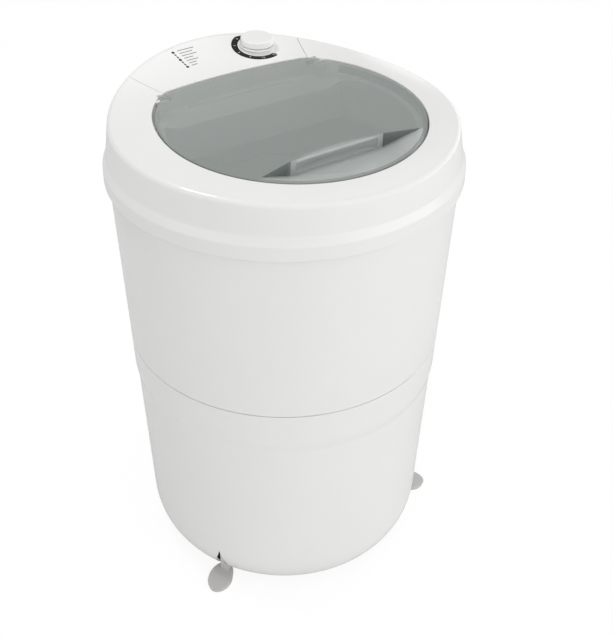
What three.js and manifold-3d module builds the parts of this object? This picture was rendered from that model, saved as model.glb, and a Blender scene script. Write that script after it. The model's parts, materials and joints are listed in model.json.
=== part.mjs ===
// A round top-loading tub washer: two plastic shells on three feet, a slanted top cover with a
// see-through lid and a timer knob, and inside them a wash tub, a pulsator and its belt drive.
// Lengths are in millimetres. +Z is up, the front faces -Y, and the origin is on the floor under
// the middle of the body.

import * as THREE from 'three';
import { mergeVertices } from 'three/addons/utils/BufferGeometryUtils.js';
import { ConvexGeometry } from 'three/addons/geometries/ConvexGeometry.js';
import Module from 'manifold-3d';

const wasm = await Module();
wasm.setup();

// Driving dimensions

// All pieces
const fullTurn = 360;
const degree = 2 * Math.PI / fullTurn;
const fit = 0.3;
const overrun = 3;
const weldTolerance = 0.001;
const wall = 3;
const bodySteps = 48;
const roundSteps = 18;
const smallSteps = 8;
const screwSteps = 6;

// Body shells
const seamRadius = 231.4;
const topFlare = 6.6;
const stepRise = 1.2;
const stepDepth = 4.2;
const lowerTaper = 10.9;
const baseCornerWidth = 26.5;
const baseCornerHeight = 52;
const baseCornerSteps = 4;
const baseHeight = 20;
const floorThickness = 4;
const floorOpeningShare = 0.7216;
const lowerShellHeight = 365.5;
const stepBelowSeam = 53.5;
const stepHeight = 14;
const seamGap = 1;
const upperShellHeight = 271.5;
const upperFlangeWidth = 20;
const joinLipHeight = 12.5;
const joinLipRoot = 6;

// Lugs and screws that join the two shells
const lugCount = 3;
const lugStart = 30;
const lugReach = 15;
const lugWidth = 16;
const lugHeight = 10;
const lugClearance = 1;
const lugBite = 1;
const screwRadius = 2;
const screwHeadRadius = 4.5;
const screwHeadHeight = 3;
const screwSlack = 0.3;

// Feet
const footAngles = { foot_front_left: -150, foot_front_right: -30, foot_rear: 90 };
const footReach = 25;
const padLength = 50;
const padWidth = 37;
const padSlope = 10;
const padTopHeight = 12;
const padToeLift = 7;
const padSoleShare = 0.92;
const padLiftShare = 0.5;
const padSteps = 20;
const notchApexHeight = 72;
const notchShoulderHeight = 42;
const notchHalfWidth = 9;
const wedgeGap = 1.5;
const wedgeApexDrop = 3;
const wedgeTopRecess = 2.5;
const wedgeFootInset = 13.5;
const wedgeBottomHeight = 9;
const tongueLength = 34;
const tongueEndInset = 4;
const tongueWidth = 28;
const tongueThickness = 6;
const tongueSkin = 1.5;

// Base cover
const baseCoverOverlap = 10;
const baseCoverThickness = 3.7;
const baseScrewCount = 3;
const ventCount = 8;
const ventLength = 60;
const ventWidth = 8;
const ventInset = 50;

// Top cover
const lipOut = 6.5;
const lipGap = 3.3;
const lipDrop = 19.1;
const shoulderInset = 0.5;
const shoulderHeight = 0.4;
const chamferInset = 5.5;
const chamferHeight = 12.4;
const wallTopInset = 11.5;
const rimInset = 18.5;
const filletHeight = 7;
const filletSteps = 2;
const rimRise = 54.9;
const rimSlope = 4.5;
const rimSweep = 12.3;
const rimLift = 14.4;
const lidRise = 62.7;
const lidTilt = 1.89;
const deckCrownShare = 0.4;
const deckThickness = 3;
const panelDeckThickness = 6;
const seatWidth = 3.5;
const coverScrewCount = 3;
const coverScrewInset = 15.5;
const coverBossRadius = 6;
const coverBossHeight = 22;
const coverScrewBite = 14;

// Opening, ledge and throat under the lid
const deckFrontWidth = 29;
const deckSideWidth = 47;
const panelDepth = 95;
const openCornerShare = 0.6648;
const hingeEdgeBow = 760;
const seamAngle = 52.3;
const ledgeDrop = 14;
const shelfDrop = 28;
const shelfRampFront = 40;
const shelfRampBack = 90;
const ledgeWidth = 13;
const ledgeFall = 1;
const shelfDepth = 63;
const throatDepth = 13.6;
const cornerSpoke = 24;
const throatCornerSpoke = 20;
const halfSpokes = 30;

// Lid and its hinge
const lidThickness = 3;
const lidGap = 2;
const lidCornerGap = 7;
const lidRearGap = 2.3;
const skirtThickness = 2.5;
const skirtInset = 1;
const skirtBackInset = 51;
const skirtSteps = 36;
const hingeInset = 20;
const hingeDrop = 4.2;
const pinRadius = 2;
const pinSlack = 0.3;
const pinInset = 6;
const pinReach = 14;
const earInset = 7.5;
const earWidth = 9;
const earRadius = 4.1;
const hingeBossWidth = 20;
const hingeBossLength = 16;
const hingeBossDepth = 9;
const hingeBossCover = 1.6;
const reliefReach = 9.8;
const reliefLength = 7;
const reliefDepth = 6;

// Finger scoop in the front of the lid
const scoopTipHalfShare = 0.676;
const scoopTipFrontShare = 0.7654;
const scoopStepHalfShare = 0.3911;
const scoopStepFrontShare = 0.6872;
const scoopDepth = 20;
const scoopRimWidth = 5;
const scoopWall = 2.5;
const scoopArcSteps = 12;
const pocketHalfShare = 0.3464;
const pocketDepth = 12;
const pocketTopDrop = 4;
const pocketBottomDrop = 18;
const pocketSteps = 10;

// Control panel
const panelThickness = 2.5;
const panelSeam = 0.5;
const panelSeatGap = 0.6;
const panelRimInset = 1.5;
const windowInset = 14;
const panelRows = 2;
const panelColumns = 12;
const clipRadius = 3;
const catchDrop = 1.4;
const catchReach = 1;
const catchLength = 3.5;
const clipAcrossShare = 0.82;
const clipInset = 8.5;

// Timer and its knob
const knobAcrossShare = 0.29513;
const knobInset = 47.2;
const knobLean = 4;
const knobPadLift = 2;
const knobPadSink = 1.5;
const bezelRadius = 26.2;
const bezelBandHeight = 1.5;
const bezelTopRadius = 25.8;
const bezelHeight = 2.7;
const bezelHoleRadius = 9.5;
const knobGap = 0.6;
const knobRadius = 24.8;
const knobSkirtHeight = 1.5;
const knobSkirtRise = 3;
const knobGripRadius = 24.2;
const knobTopRadius = 23.8;
const knobHeight = 9.8;
const knobCrown = 1.2;
const knobCrownInset = 1.4;
const knobSteps = 30;
const timerShaftRadius = 3;
const timerShaftHeight = 11;
const timerSeatDepth = 8;
const timerSeatRadius = 16;
const timerBodyWidth = 40;
const timerBodyLength = 36;
const timerBodyHeight = 28;
const timerBodyShift = 3;
const timerShaftInsertion = 12;
const timerNeckRadius = 5;
const timerNeckRise = 3.3;
const timerNutRadius = 8.5;
const timerNutHeight = 3;

// Wash tub
const tubSideGap = 32;
const tubTaper = 12;
const tubCornerRadius = 28;
const tubCornerSteps = 4;
const tubFloorThickness = 4;
const tubFlangeThickness = 3;
const tubFlangeInset = 1.5;
const tubBossRadius = 45;
const tubBossDrop = 4;
const tubSealRadius = 16;
const tubSteps = 36;

// Pulsator
const pulsatorShare = 0.6545;
const pulsatorLift = 6;
const pulsatorEdge = 6;
const pulsatorDish = 10;
const pulsatorHubRadius = 24;
const pulsatorHubHeight = 28;
const pulsatorHubTop = 14;
const pulsatorShoulder = 24;
const pulsatorFlare = 16;
const pulsatorSteps = 30;
const vaneCount = 6;
const vaneInner = 20;
const vaneOuterInset = 13;
const vaneWidth = 18;
const vaneTopWidth = 6;
const vaneInnerHeight = 26;
const vaneOuterHeight = 16;
const vaneSink = 3;

// Drive shaft and its bearings
const shaftRadius = 7;
const shaftTopAboveFloor = 22;
const boltRadius = 3;
const boltHeadRadius = 7;
const boltHeadHeight = 5;
const boltBite = 13;
const boltWeb = 5.7;
const boltRecess = 1;
const sealHeight = 9;
const housingHeight = 41.7;
const housingRadius = 24;
const housingFlangeRadius = 45;
const housingFlangeHeight = 6;
const housingBoreRadius = 12;
const bushHeight = 18;
const bushEndGap = 0.7;
const thrustWasherHeight = 3.4;
const thrustWasherRadius = 14;

// Belt and pulleys
const drivenShare = 0.4974;
const motorPulleyRadius = 25;
const grooveDepth = 7;
const grooveFloorWidth = 5;
const grooveMouthWidth = 12;
const pulleyRimHeight = 16;
const drivenRimThickness = 11;
const drivenHubRadius = 18;
const drivenHubHeight = 26;
const drivenWebThickness = 6;
const drivenHoleCount = 6;
const drivenHoleRadius = 14;
const drivenHoleCircleShare = 0.5474;
const pulleySteps = 24;
const pulleyNutRadius = 14;
const pulleyNutHeight = 11.7;
const nutSides = 6;
const shaftTail = 2;
const beltSlack = 0.4;
const beltProud = 0.8;
const beltBigSteps = 24;
const beltSmallSteps = 8;
const pulleyClearance = 15;
const beltCentresShare = 0.7068;

// Motor
const fanClearance = 12;
const fanHeight = 12;
const fanRadius = 45;
const fanPlateThickness = 2;
const fanHubRadius = 12;
const fanBladeCount = 8;
const fanBladeThickness = 2;
const fanGap = 2;
const motorShaftRadius = 6;
const motorShaftTail = 2;
const motorShaftHead = 6;
const motorRadius = 55;
const lowerFrameHeight = 24.7;
const upperFrameHeight = 21.4;
const statorHeight = 50;
const rotorRadius = 28;
const rotorGap = 0.8;
const rotorInset = 1;
const frameWall = 8;
const framePlate = 5;
const frameHubRadius = 14;
const frameHubLength = 17;
const windingInner = 33;
const windingHeight = 11;
const slotCount = 6;
const slotInner = 34;
const slotLength = 11;
const slotWidth = 9;
const earMargin = 15;
const earHalfDepth = 48;
const earCorner = 12;
const earCornerSteps = 4;
const postHalfSpanShare = 0.3927;
const postHalfDepth = 27.5;
const postRadius = 8;
const postScrewBite = 16;

// Capacitor
const capacitorAngle = 180;
const capacitorCircleShare = 0.8743;
const capacitorRadius = 20;
const capacitorHeight = 70;
const clampHeight = 16;
const clampRise = 10;
const clampThickness = 2;
const clampFootLength = 16;
const clampFootWidth = 14;
const terminalWidth = 6;
const terminalThickness = 0.8;
const terminalHeight = 8;

// Drain
const drainAngle = 20;
const drainCircleShare = 0.7225;
const strainerRadius = 18;
const strainerThickness = 2;
const strainerBite = 8;
const strainerHoleCircle = 4.6;
const strainerHoleRadius = 1.4;
const strainerHoleCount = 6;
const outletBore = 9.5;
const outletRadius = 12;
const outletFlangeRadius = 23;
const outletFlangeHeight = 4;
const outletLength = 36;
const hoseOverlap = 14;
const hoseWall = 2.2;
const hoseSides = 12;
const hoseSteps = 14;
const hoseBend = 36;
const spigotHeight = 110;
const spigotRadius = 13;
const spigotBarbLength = 15;
const spigotFlangeRadius = 20;
const spigotFlangeHeight = 3.5;
const spigotReach = 18;
const catchWidth = 4;
const catchRise = 1.2;
const portBossRadius = 22;
const portBossProud = 3;
const portBossInner = 7.5;

// Cable gland
const glandAngle = 60;
const glandHeight = 90;
const glandRadius = 7;
const glandBore = 3.8;
const glandFlangeRadius = 10.5;
const glandFlangeHeight = 3;
const glandNose = 10;
const glandNoseRadius = 5;
const glandBossRadius = 13;

// Heights that follow from the stack of pieces, from the floor up

const floorTop = baseHeight + floorThickness;
const fanBottom = floorTop + fanClearance;
const lowerFrameBottom = fanBottom + fanHeight + fanGap;
const lowerFrameTop = lowerFrameBottom + lowerFrameHeight;
const statorBottom = lowerFrameTop + fit;
const statorTop = statorBottom + statorHeight;
const upperFrameBottom = statorTop + fit;
const upperFrameTop = upperFrameBottom + upperFrameHeight;
const postBottom = upperFrameTop + fit;
const pulleyPlane = upperFrameTop + pulleyClearance + pulleyRimHeight / 2;
const drivenHubBottom = pulleyPlane - drivenHubHeight / 2;
const drivenHubTop = pulleyPlane + drivenHubHeight / 2;
const thrustWasherBottom = drivenHubTop + fit;
const housingBottom = thrustWasherBottom + thrustWasherHeight + fit;
const housingTop = housingBottom + housingHeight;
const tubBossBottom = housingTop + fit;
const tubFloorUnder = tubBossBottom + tubBossDrop;
const tubFloorTop = tubFloorUnder + tubFloorThickness;
const seamBottom = baseHeight + lowerShellHeight;
const seamTop = seamBottom + seamGap;
const joinLipTop = seamBottom + joinLipHeight;
const upperFlangeTop = seamTop + upperShellHeight;
const tubFlangeBottom = upperFlangeTop + fit;
const tubFlangeTop = tubFlangeBottom + tubFlangeThickness;
const coverSeat = tubFlangeTop + fit;
const lipBottom = coverSeat - lipDrop;
const shoulderTop = coverSeat + shoulderHeight;
const chamferTop = shoulderTop + chamferHeight - shoulderHeight;
const lidPlane = coverSeat + lidRise;

// Radii that follow from the body's

const topRadius = seamRadius + topFlare;
const stepTopRadius = seamRadius - stepRise;
const stepBottomRadius = seamRadius - stepDepth;
const bottomRadius = seamRadius - lowerTaper;
const baseFlatRadius = bottomRadius - baseCornerWidth;
const floorOpeningRadius = floorOpeningShare * baseFlatRadius;
const joinLipRadius = seamRadius - wall - fit;
const joinLipInner = joinLipRadius - wall;
const lipRadius = topRadius + lipOut;
const lipInner = topRadius + lipGap;
const rimRadius = lipRadius - rimInset;
const coverScrewCircle = lipRadius - coverScrewInset;
const tubTopRadius = topRadius - wall - tubSideGap;
const tubBottomRadius = tubTopRadius - tubTaper;
const tubFlangeRadius = topRadius - tubFlangeInset;
const openRadius = rimRadius - deckSideWidth;
const openBack = deckSideWidth - deckFrontWidth;
const hingeEdgeBack = rimRadius - panelDepth;
const throatRadius = openRadius - ledgeWidth;
const throatChord = hingeEdgeBack - shelfDepth;
const openCornerHalf = openCornerShare * openRadius;
const hingeBack = hingeEdgeBack - hingeInset;
const skirtBack = hingeEdgeBack - skirtBackInset;
const pinStart = openCornerHalf - pinInset;
const pinEnd = openCornerHalf + pinReach;
const earInner = openCornerHalf - earInset;
const reliefHalf = openCornerHalf + reliefReach;
const scoopTipHalf = scoopTipHalfShare * openRadius;
const scoopTipFront = scoopTipFrontShare * openRadius;
const scoopStepHalf = scoopStepHalfShare * openRadius;
const scoopStepFront = scoopStepFrontShare * openRadius;
const pocketHalf = pocketHalfShare * openRadius;
const knobAcross = knobAcrossShare * rimRadius;
const knobBack = rimRadius - knobInset;
const pulsatorRadius = pulsatorShare * tubBottomRadius;
const vaneOuter = pulsatorRadius - vaneOuterInset;
const drivenRadius = drivenShare * tubBottomRadius;
const drivenHoleCircle = drivenHoleCircleShare * drivenRadius;
const beltCentres = beltCentresShare * tubBottomRadius;
const postHalfSpan = postHalfSpanShare * tubBottomRadius;
const earHalfWidth = postHalfSpan + earMargin;
const capacitorCircle = capacitorCircleShare * tubBottomRadius;
const drainCircle = drainCircleShare * tubBottomRadius;

const lerp = THREE.MathUtils.lerp;
const polar = (radius, angle) => [radius * Math.cos(angle * degree), radius * Math.sin(angle * degree)];

// Solids

// Merges the points of a geometry, drops collapsed triangles and turns the faces outward.
function weld(geometry) {
  const bare = geometry.clone();
  bare.deleteAttribute('normal');
  bare.deleteAttribute('uv');
  const merged = mergeVertices(bare, weldTolerance);
  const old = merged.index.array;
  const kept = [];
  for (let i = 0; i < old.length; i += 3) {
    const [a, b, c] = [old[i], old[i + 1], old[i + 2]];
    if (a !== b && b !== c && c !== a) kept.push(a, b, c);
  }
  merged.setIndex(volumeOf(merged, kept) < 0 ? kept.reverse() : kept);
  return merged;
}

function volumeOf(geometry, index) {
  const place = geometry.attributes.position;
  const [a, b, c] = [new THREE.Vector3(), new THREE.Vector3(), new THREE.Vector3()];
  let sum = 0;
  for (let i = 0; i < index.length; i += 3) {
    a.fromBufferAttribute(place, index[i]);
    b.fromBufferAttribute(place, index[i + 1]);
    c.fromBufferAttribute(place, index[i + 2]);
    sum += a.dot(b.cross(c));
  }
  return sum;
}

function toSolid(geometry) {
  const welded = weld(geometry);
  return new wasm.Manifold(new wasm.Mesh({
    numProp: 3,
    vertProperties: welded.attributes.position.array,
    triVerts: new Uint32Array(welded.index.array),
  }));
}

function toGeometry(solid) {
  const mesh = solid.getMesh();
  const geometry = new THREE.BufferGeometry();
  geometry.setAttribute('position', new THREE.BufferAttribute(mesh.vertProperties, 3));
  geometry.setIndex([...mesh.triVerts]);
  return geometry;
}

// Adds some geometries to one and then cuts others out of it.
function carve(base, added, cut) {
  let solid = toSolid(base);
  for (const piece of added) solid = solid.add(toSolid(piece));
  for (const piece of cut) solid = solid.subtract(toSolid(piece));
  return toGeometry(solid);
}

// A profile of [radius, height] points turned about Z. It starts and ends on the axis, or it is
// closed on itself.
function revolve(profile, steps) {
  const points = profile.map(([radius, height]) => new THREE.Vector2(radius, height));
  if (points[0].x > 0) points.push(points[0].clone());
  return weld(new THREE.LatheGeometry(points, steps).rotateX(Math.PI / 2));
}

const disc = (radius, bottom, top, steps) =>
  revolve([[0, bottom], [radius, bottom], [radius, top], [0, top]], steps);

const ring = (inner, outer, bottom, top, steps) =>
  revolve([[inner, bottom], [outer, bottom], [outer, top], [inner, top]], steps);

function block(x0, x1, y0, y1, z0, z1) {
  const box = new THREE.BoxGeometry(x1 - x0, y1 - y0, z1 - z0);
  return box.translate((x0 + x1) / 2, (y0 + y1) / 2, (z0 + z1) / 2);
}

// A quarter of an ellipse from straight down to straight out, as [radius, height] points.
function quarterRound(radius, height, width, rise, steps) {
  return Array.from({ length: steps + 1 }, (_, step) => {
    const angle = (step / steps - 1) * Math.PI / 2;
    return [radius + width * Math.cos(angle), height + rise * Math.sin(angle)];
  });
}

// Copies of a geometry at some angles round Z, moved out along X first.
function around(count, start, radius, geometry) {
  const angleOf = (item) => start + fullTurn * item / count;
  return Array.from({ length: count }, (_, item) => outward(geometry, angleOf(item), radius));
}

function outward(geometry, angle, radius) {
  return geometry.clone().translate(radius, 0, 0).rotateZ(angle * degree);
}

// A geometry that was made round Z, laid along X so that its heights become distances outward.
function lieOutward(geometry, angle, height) {
  return geometry.clone().rotateY(Math.PI / 2).translate(0, 0, height).rotateZ(angle * degree);
}

// A geometry turned over to the other side of the YZ plane.
const mirrored = (geometry) => weld(geometry.clone().scale(-1, 1, 1));

// A surface through closed loops of points, each joined to the next and the last to the first.
function loopRing(loops) {
  const count = loops[0].length;
  const faces = [];
  for (let loop = 0; loop < loops.length; loop += 1) {
    const next = (loop + 1) % loops.length;
    for (let i = 0; i < count; i += 1) {
      const j = (i + 1) % count;
      faces.push(loop * count + i, loop * count + j, next * count + j);
      faces.push(loop * count + i, next * count + j, next * count + i);
    }
  }
  return meshOf(loops.flat(), faces);
}

// A closed slab between two grids of points.
function slab(top, bottom) {
  const rows = top.length;
  const columns = top[0].length;
  const id = (side, row, column) => (side * rows + row) * columns + column;
  const faces = [];
  const quad = (a, b, c, d) => faces.push(a, b, c, a, c, d);
  for (let r = 0; r < rows - 1; r += 1) {
    for (let c = 0; c < columns - 1; c += 1) {
      quad(id(0, r, c), id(0, r, c + 1), id(0, r + 1, c + 1), id(0, r + 1, c));
      quad(id(1, r, c), id(1, r + 1, c), id(1, r + 1, c + 1), id(1, r, c + 1));
    }
  }
  for (let r = 0; r < rows - 1; r += 1) {
    quad(id(0, r, 0), id(0, r + 1, 0), id(1, r + 1, 0), id(1, r, 0));
    quad(id(0, r, columns - 1), id(1, r, columns - 1), id(1, r + 1, columns - 1), id(0, r + 1, columns - 1));
  }
  for (let c = 0; c < columns - 1; c += 1) {
    quad(id(0, 0, c), id(1, 0, c), id(1, 0, c + 1), id(0, 0, c + 1));
    quad(id(0, rows - 1, c), id(0, rows - 1, c + 1), id(1, rows - 1, c + 1), id(1, rows - 1, c));
  }
  return meshOf([...top.flat(), ...bottom.flat()], faces);
}

function meshOf(points, faces) {
  const geometry = new THREE.BufferGeometry().setFromPoints(points);
  geometry.setIndex(faces);
  return weld(geometry);
}

// A flat outline of [x, y] points raised from one height to another.
function prism(outline, bottom, top) {
  const shape = new THREE.Shape(outline.map(([x, y]) => new THREE.Vector2(x, y)));
  const geometry = new THREE.ExtrudeGeometry(shape, { depth: top - bottom, bevelEnabled: false });
  return geometry.translate(0, 0, bottom);
}

const hull = (points) => weld(new ConvexGeometry(points.map((point) => new THREE.Vector3(...point))));

// A screw that points up, with the seat of its head at height zero.
function screw(radius, headRadius, headHeight, length) {
  const profile = [
    [0, -headHeight], [headRadius, -headHeight], [headRadius, 0], [radius, 0], [radius, length], [0, length],
  ];
  return revolve(profile, screwSteps);
}

// The slanted top: its rim, its opening and the deck between them

function rimHeightAt(y) {
  const share = y / rimRadius;
  return coverSeat + rimRise + share * (rimSlope + share * (rimSweep + share * rimLift));
}

const lidPlaneAt = (y) => lidPlane + y * Math.tan(lidTilt * degree);

// The back edge of the opening: a shallow arc, farthest back in the middle.
const hingeEdgeAt = (x) => hingeEdgeBack - hingeEdgeBow + Math.sqrt(hingeEdgeBow ** 2 - x ** 2);

// One half of a rounded opening with a bowed back edge, from the front to the back. The side
// swells a little towards the corner, so that it ends where the back edge does.
function openingPoint(index, radius, cornerHalf, backInset) {
  const cornerBack = hingeEdgeAt(cornerHalf) - backInset;
  if (index > cornerSpoke) {
    const x = cornerHalf * (halfSpokes - index) / (halfSpokes - cornerSpoke);
    return [x, hingeEdgeAt(x) - backInset];
  }
  const cornerAngle = Math.atan2(cornerBack + openBack, cornerHalf);
  const swell = Math.hypot(cornerHalf, cornerBack + openBack) - radius;
  const angle = lerp(-Math.PI / 2, cornerAngle, index / cornerSpoke);
  const reach = radius + swell * THREE.MathUtils.smoothstep(angle, 0, cornerAngle);
  return [reach * Math.cos(angle), reach * Math.sin(angle) - openBack];
}

// The throat is round, with a straight back edge under the front of the shelf.
function throatPoint(index) {
  const cornerAngle = Math.asin((throatChord + openBack) / throatRadius);
  const cornerHalf = throatRadius * Math.cos(cornerAngle);
  if (index > throatCornerSpoke) {
    return [cornerHalf * (halfSpokes - index) / (halfSpokes - throatCornerSpoke), throatChord];
  }
  const angle = lerp(-Math.PI / 2, cornerAngle, index / throatCornerSpoke);
  return [throatRadius * Math.cos(angle), throatRadius * Math.sin(angle) - openBack];
}

function rimAngleOf(index) {
  if (index > cornerSpoke) {
    return lerp(seamAngle, 90, (index - cornerSpoke) / (halfSpokes - cornerSpoke)) * degree;
  }
  return lerp(-90, seamAngle, index / cornerSpoke) * degree;
}

// Both halves of an outline, from the front round by the right and back by the left.
function bothSides(pointOf) {
  const right = Array.from({ length: halfSpokes + 1 }, (_, index) => pointOf(index));
  const left = right.slice(1, -1).reverse().map(([x, y]) => [-x, y]);
  return [...right, ...left];
}

const rimOutline = bothSides((index) => {
  const angle = rimAngleOf(index);
  return [rimRadius * Math.cos(angle), rimRadius * Math.sin(angle)];
});
const openOutline = bothSides((index) => openingPoint(index, openRadius, openCornerHalf, 0));
const throatOutline = bothSides(throatPoint);
const lidOutline = bothSides((index) =>
  openingPoint(index, openRadius - lidGap, openCornerHalf - lidCornerGap, lidRearGap));

// A point on the deck or below it: share 0 is at the rim and share 1 at the opening.
function deckPoint(rim, open, share, drop) {
  const rimZ = rimHeightAt(rim[1]);
  const fall = (lidPlaneAt(open[1]) - rimZ) * share * (1 + deckCrownShare - deckCrownShare * share);
  return new THREE.Vector3(lerp(rim[0], open[0], share), lerp(rim[1], open[1], share), rimZ + fall - drop);
}

// A point on the deck behind the opening: across runs from -1 at the left seam to 1 at the right.
function panelPoint(across, share, drop) {
  const angle = (90 - across * (90 - seamAngle)) * degree;
  const rim = [rimRadius * Math.cos(angle), rimRadius * Math.sin(angle)];
  const x = across * openCornerHalf;
  return deckPoint(rim, [x, hingeEdgeAt(x)], share, drop);
}

// A slab that follows the deck behind the opening, between two depths under the surface.
function panelSlab(sideInset, rimInsetHere, frontInset, topDrop, bottomDrop) {
  const acrossLimit = 1 - sideInset / openCornerHalf;
  const first = rimInsetHere / panelDepth;
  const last = 1 - frontInset / panelDepth;
  const grid = (drop) => Array.from({ length: panelRows + 1 }, (_, row) =>
    Array.from({ length: panelColumns + 1 }, (_, column) => {
      const across = lerp(-acrossLimit, acrossLimit, column / panelColumns);
      return panelPoint(across, lerp(first, last, row / panelRows), drop);
    }));
  return slab(grid(topDrop), grid(bottomDrop));
}

// The share across and the share towards the opening of a place on the panel.
function panelSharesAt(x, y) {
  let across = x / openCornerHalf;
  let share = 0.5;
  for (let round = 0; round < 40; round += 1) {
    const point = panelPoint(across, share, 0);
    across += (x - point.x) / (2 * openCornerHalf);
    share -= (y - point.y) / (2 * panelDepth);
  }
  return [across, share];
}

// A frame that stands on the panel, with its Z axis square to the surface.
function panelFrame(across, share) {
  const [side, down] = [1 / openCornerHalf, 1 / panelDepth];
  const place = panelPoint(across, share, 0);
  const right = panelPoint(across + side, share, 0).sub(panelPoint(across - side, share, 0));
  const back = panelPoint(across, share - down, 0).sub(panelPoint(across, share + down, 0));
  const up = right.clone().cross(back).normalize();
  const turn = new THREE.Quaternion().setFromUnitVectors(new THREE.Vector3(0, 0, 1), up);
  return new THREE.Matrix4().compose(place, turn, new THREE.Vector3(1, 1, 1));
}

const knobPadRadius = bezelRadius + fit;
const knobPlace = panelFrame(...panelSharesAt(knobAcross, knobBack));

// The timer stands more upright than the panel, on a pad that is thicker at its front.
const timerFrame = new THREE.Matrix4().makeRotationX(knobLean * degree)
  .setPosition(new THREE.Vector3(0, 0, knobPadLift).applyMatrix4(knobPlace));

const panelClipPlaces = [-1, 1].flatMap((side) => [
  [side * clipAcrossShare, 1 - clipInset / panelDepth],
  [side * clipAcrossShare, (panelRimInset + clipInset) / panelDepth],
]);
const panelClipFrames = panelClipPlaces.map(([across, share]) => panelFrame(across, share));

// The lid's frame lies on the plane of the opening, with its Z axis square to the lid.
const lidFrame = new THREE.Matrix4().makeRotationX(lidTilt * degree).setPosition(0, 0, lidPlane);
const hingePlace = new THREE.Vector3(0, hingeBack, -hingeDrop).applyMatrix4(lidFrame);

// Shells

function lowerShell() {
  const cornerTop = baseHeight + baseCornerHeight;
  const stepTop = seamBottom - stepBelowSeam;
  const innerRise = baseCornerHeight - floorThickness;
  const outer = quarterRound(baseFlatRadius, cornerTop, baseCornerWidth, baseCornerHeight, baseCornerSteps);
  const inner = quarterRound(baseFlatRadius, cornerTop, baseCornerWidth - wall, innerRise, baseCornerSteps);
  const shell = revolve([
    [floorOpeningRadius, baseHeight],
    ...outer,
    [stepBottomRadius, stepTop - stepHeight],
    [stepTopRadius, stepTop],
    [seamRadius, seamBottom],
    [joinLipRadius, seamBottom],
    [joinLipRadius, joinLipTop],
    [joinLipInner, joinLipTop],
    [joinLipInner, seamBottom - joinLipRoot],
    [stepTopRadius - wall, stepTop],
    [stepBottomRadius - wall, stepTop - stepHeight],
    ...inner.reverse(),
    [floorOpeningRadius, floorTop],
  ], bodySteps);
  const lugTop = joinLipTop + lugClearance - fit;
  const lug = block(-lugReach, lugBite, -lugWidth / 2, lugWidth / 2, lugTop - lugHeight, lugTop);
  const lugs = around(lugCount, lugStart, joinLipInner, lug);
  const ports = [
    lieOutward(disc(portBossRadius, portInner(drainWallRadius), portOuter(drainWallRadius), roundSteps),
      drainAngle, spigotHeight),
    lieOutward(disc(glandBossRadius, portInner(glandWallRadius), portOuter(glandWallRadius), roundSteps),
      glandAngle, glandHeight),
  ];
  const lugHole = disc(screwRadius + screwSlack, seamBottom, upperFlangeTop, screwSteps);
  const floorHole = disc(screwRadius + screwSlack, 0, floorTop + overrun, screwSteps);
  const holes = [
    ...around(lugCount, lugStart, lugScrewCircle, lugHole),
    ...around(baseScrewCount, 0, baseScrewCircle, floorHole),
    lieOutward(disc(spigotRadius + fit, drainCircle, lipRadius, roundSteps), drainAngle, spigotHeight),
    lieOutward(disc(glandRadius + fit, drainCircle, lipRadius, roundSteps), glandAngle, glandHeight),
    ...Object.values(footAngles).map((angle) => outward(footNotch(), angle, 0)),
    ...Object.values(footAngles).map((angle) => outward(floorHole, angle, tongueMiddle)),
    clampScrewHole(0, floorTop + overrun),
  ];
  return carve(shell, [...lugs, ...ports], holes);
}

const lugScrewCircle = joinLipInner - lugReach / 2;
const baseScrewCircle = floorOpeningRadius + baseCoverOverlap / 2;

// The outer radius of the lower shell's straight wall at a height.
function lowerWallRadius(height) {
  const bottom = baseHeight + baseCornerHeight;
  const top = seamBottom - stepBelowSeam - stepHeight;
  return lerp(bottomRadius, stepBottomRadius, (height - bottom) / (top - bottom));
}

const drainWallRadius = lowerWallRadius(spigotHeight);
const glandWallRadius = lowerWallRadius(glandHeight);
const portOuter = (wallRadius) => wallRadius + portBossProud;
const portInner = (wallRadius) => wallRadius - portBossInner;

function upperShell() {
  const shell = revolve([
    [seamRadius, seamTop],
    [topRadius, lipBottom],
    [topRadius, upperFlangeTop],
    [topRadius - upperFlangeWidth, upperFlangeTop],
    [topRadius - upperFlangeWidth, upperFlangeTop - wall],
    [topRadius - wall, upperFlangeTop - wall],
    [topRadius - wall, lipBottom],
    [seamRadius - wall, seamTop],
  ], bodySteps);
  const lugBottom = joinLipTop + lugClearance;
  const lugOuter = seamRadius - wall + lugBite;
  const lugTop = lugBottom + lugHeight;
  const lug = block(joinLipInner - lugReach, lugOuter, -lugWidth / 2, lugWidth / 2, lugBottom, lugTop);
  const hole = disc(screwRadius + screwSlack, seamBottom, lugTop - wall, screwSteps);
  return carve(shell, around(lugCount, lugStart, 0, lug), [
    ...around(lugCount, lugStart, lugScrewCircle, hole),
    ...around(coverScrewCount, coverScrewStart, coverScrewCircle, coverScrewHole),
  ]);
}

const coverScrewStart = 180 / coverScrewCount;
const coverScrewHole = disc(screwRadius + screwSlack, upperFlangeTop - wall - overrun,
  coverSeat + coverScrewBite + overrun, screwSteps);

// Screws that join the body

function shellScrews() {
  const head = joinLipTop + lugClearance - lugHeight - 2 * fit;
  const length = 2 * lugHeight - wall;
  const piece = screw(screwRadius, screwHeadRadius, screwHeadHeight, length).translate(0, 0, head);
  return around(lugCount, lugStart, lugScrewCircle, piece);
}

function coverScrews() {
  const head = upperFlangeTop - wall - fit;
  const length = coverSeat + coverScrewBite - head;
  const piece = screw(screwRadius, screwHeadRadius, screwHeadHeight, length).translate(0, 0, head);
  return around(coverScrewCount, coverScrewStart, coverScrewCircle, piece);
}

// Feet

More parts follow.
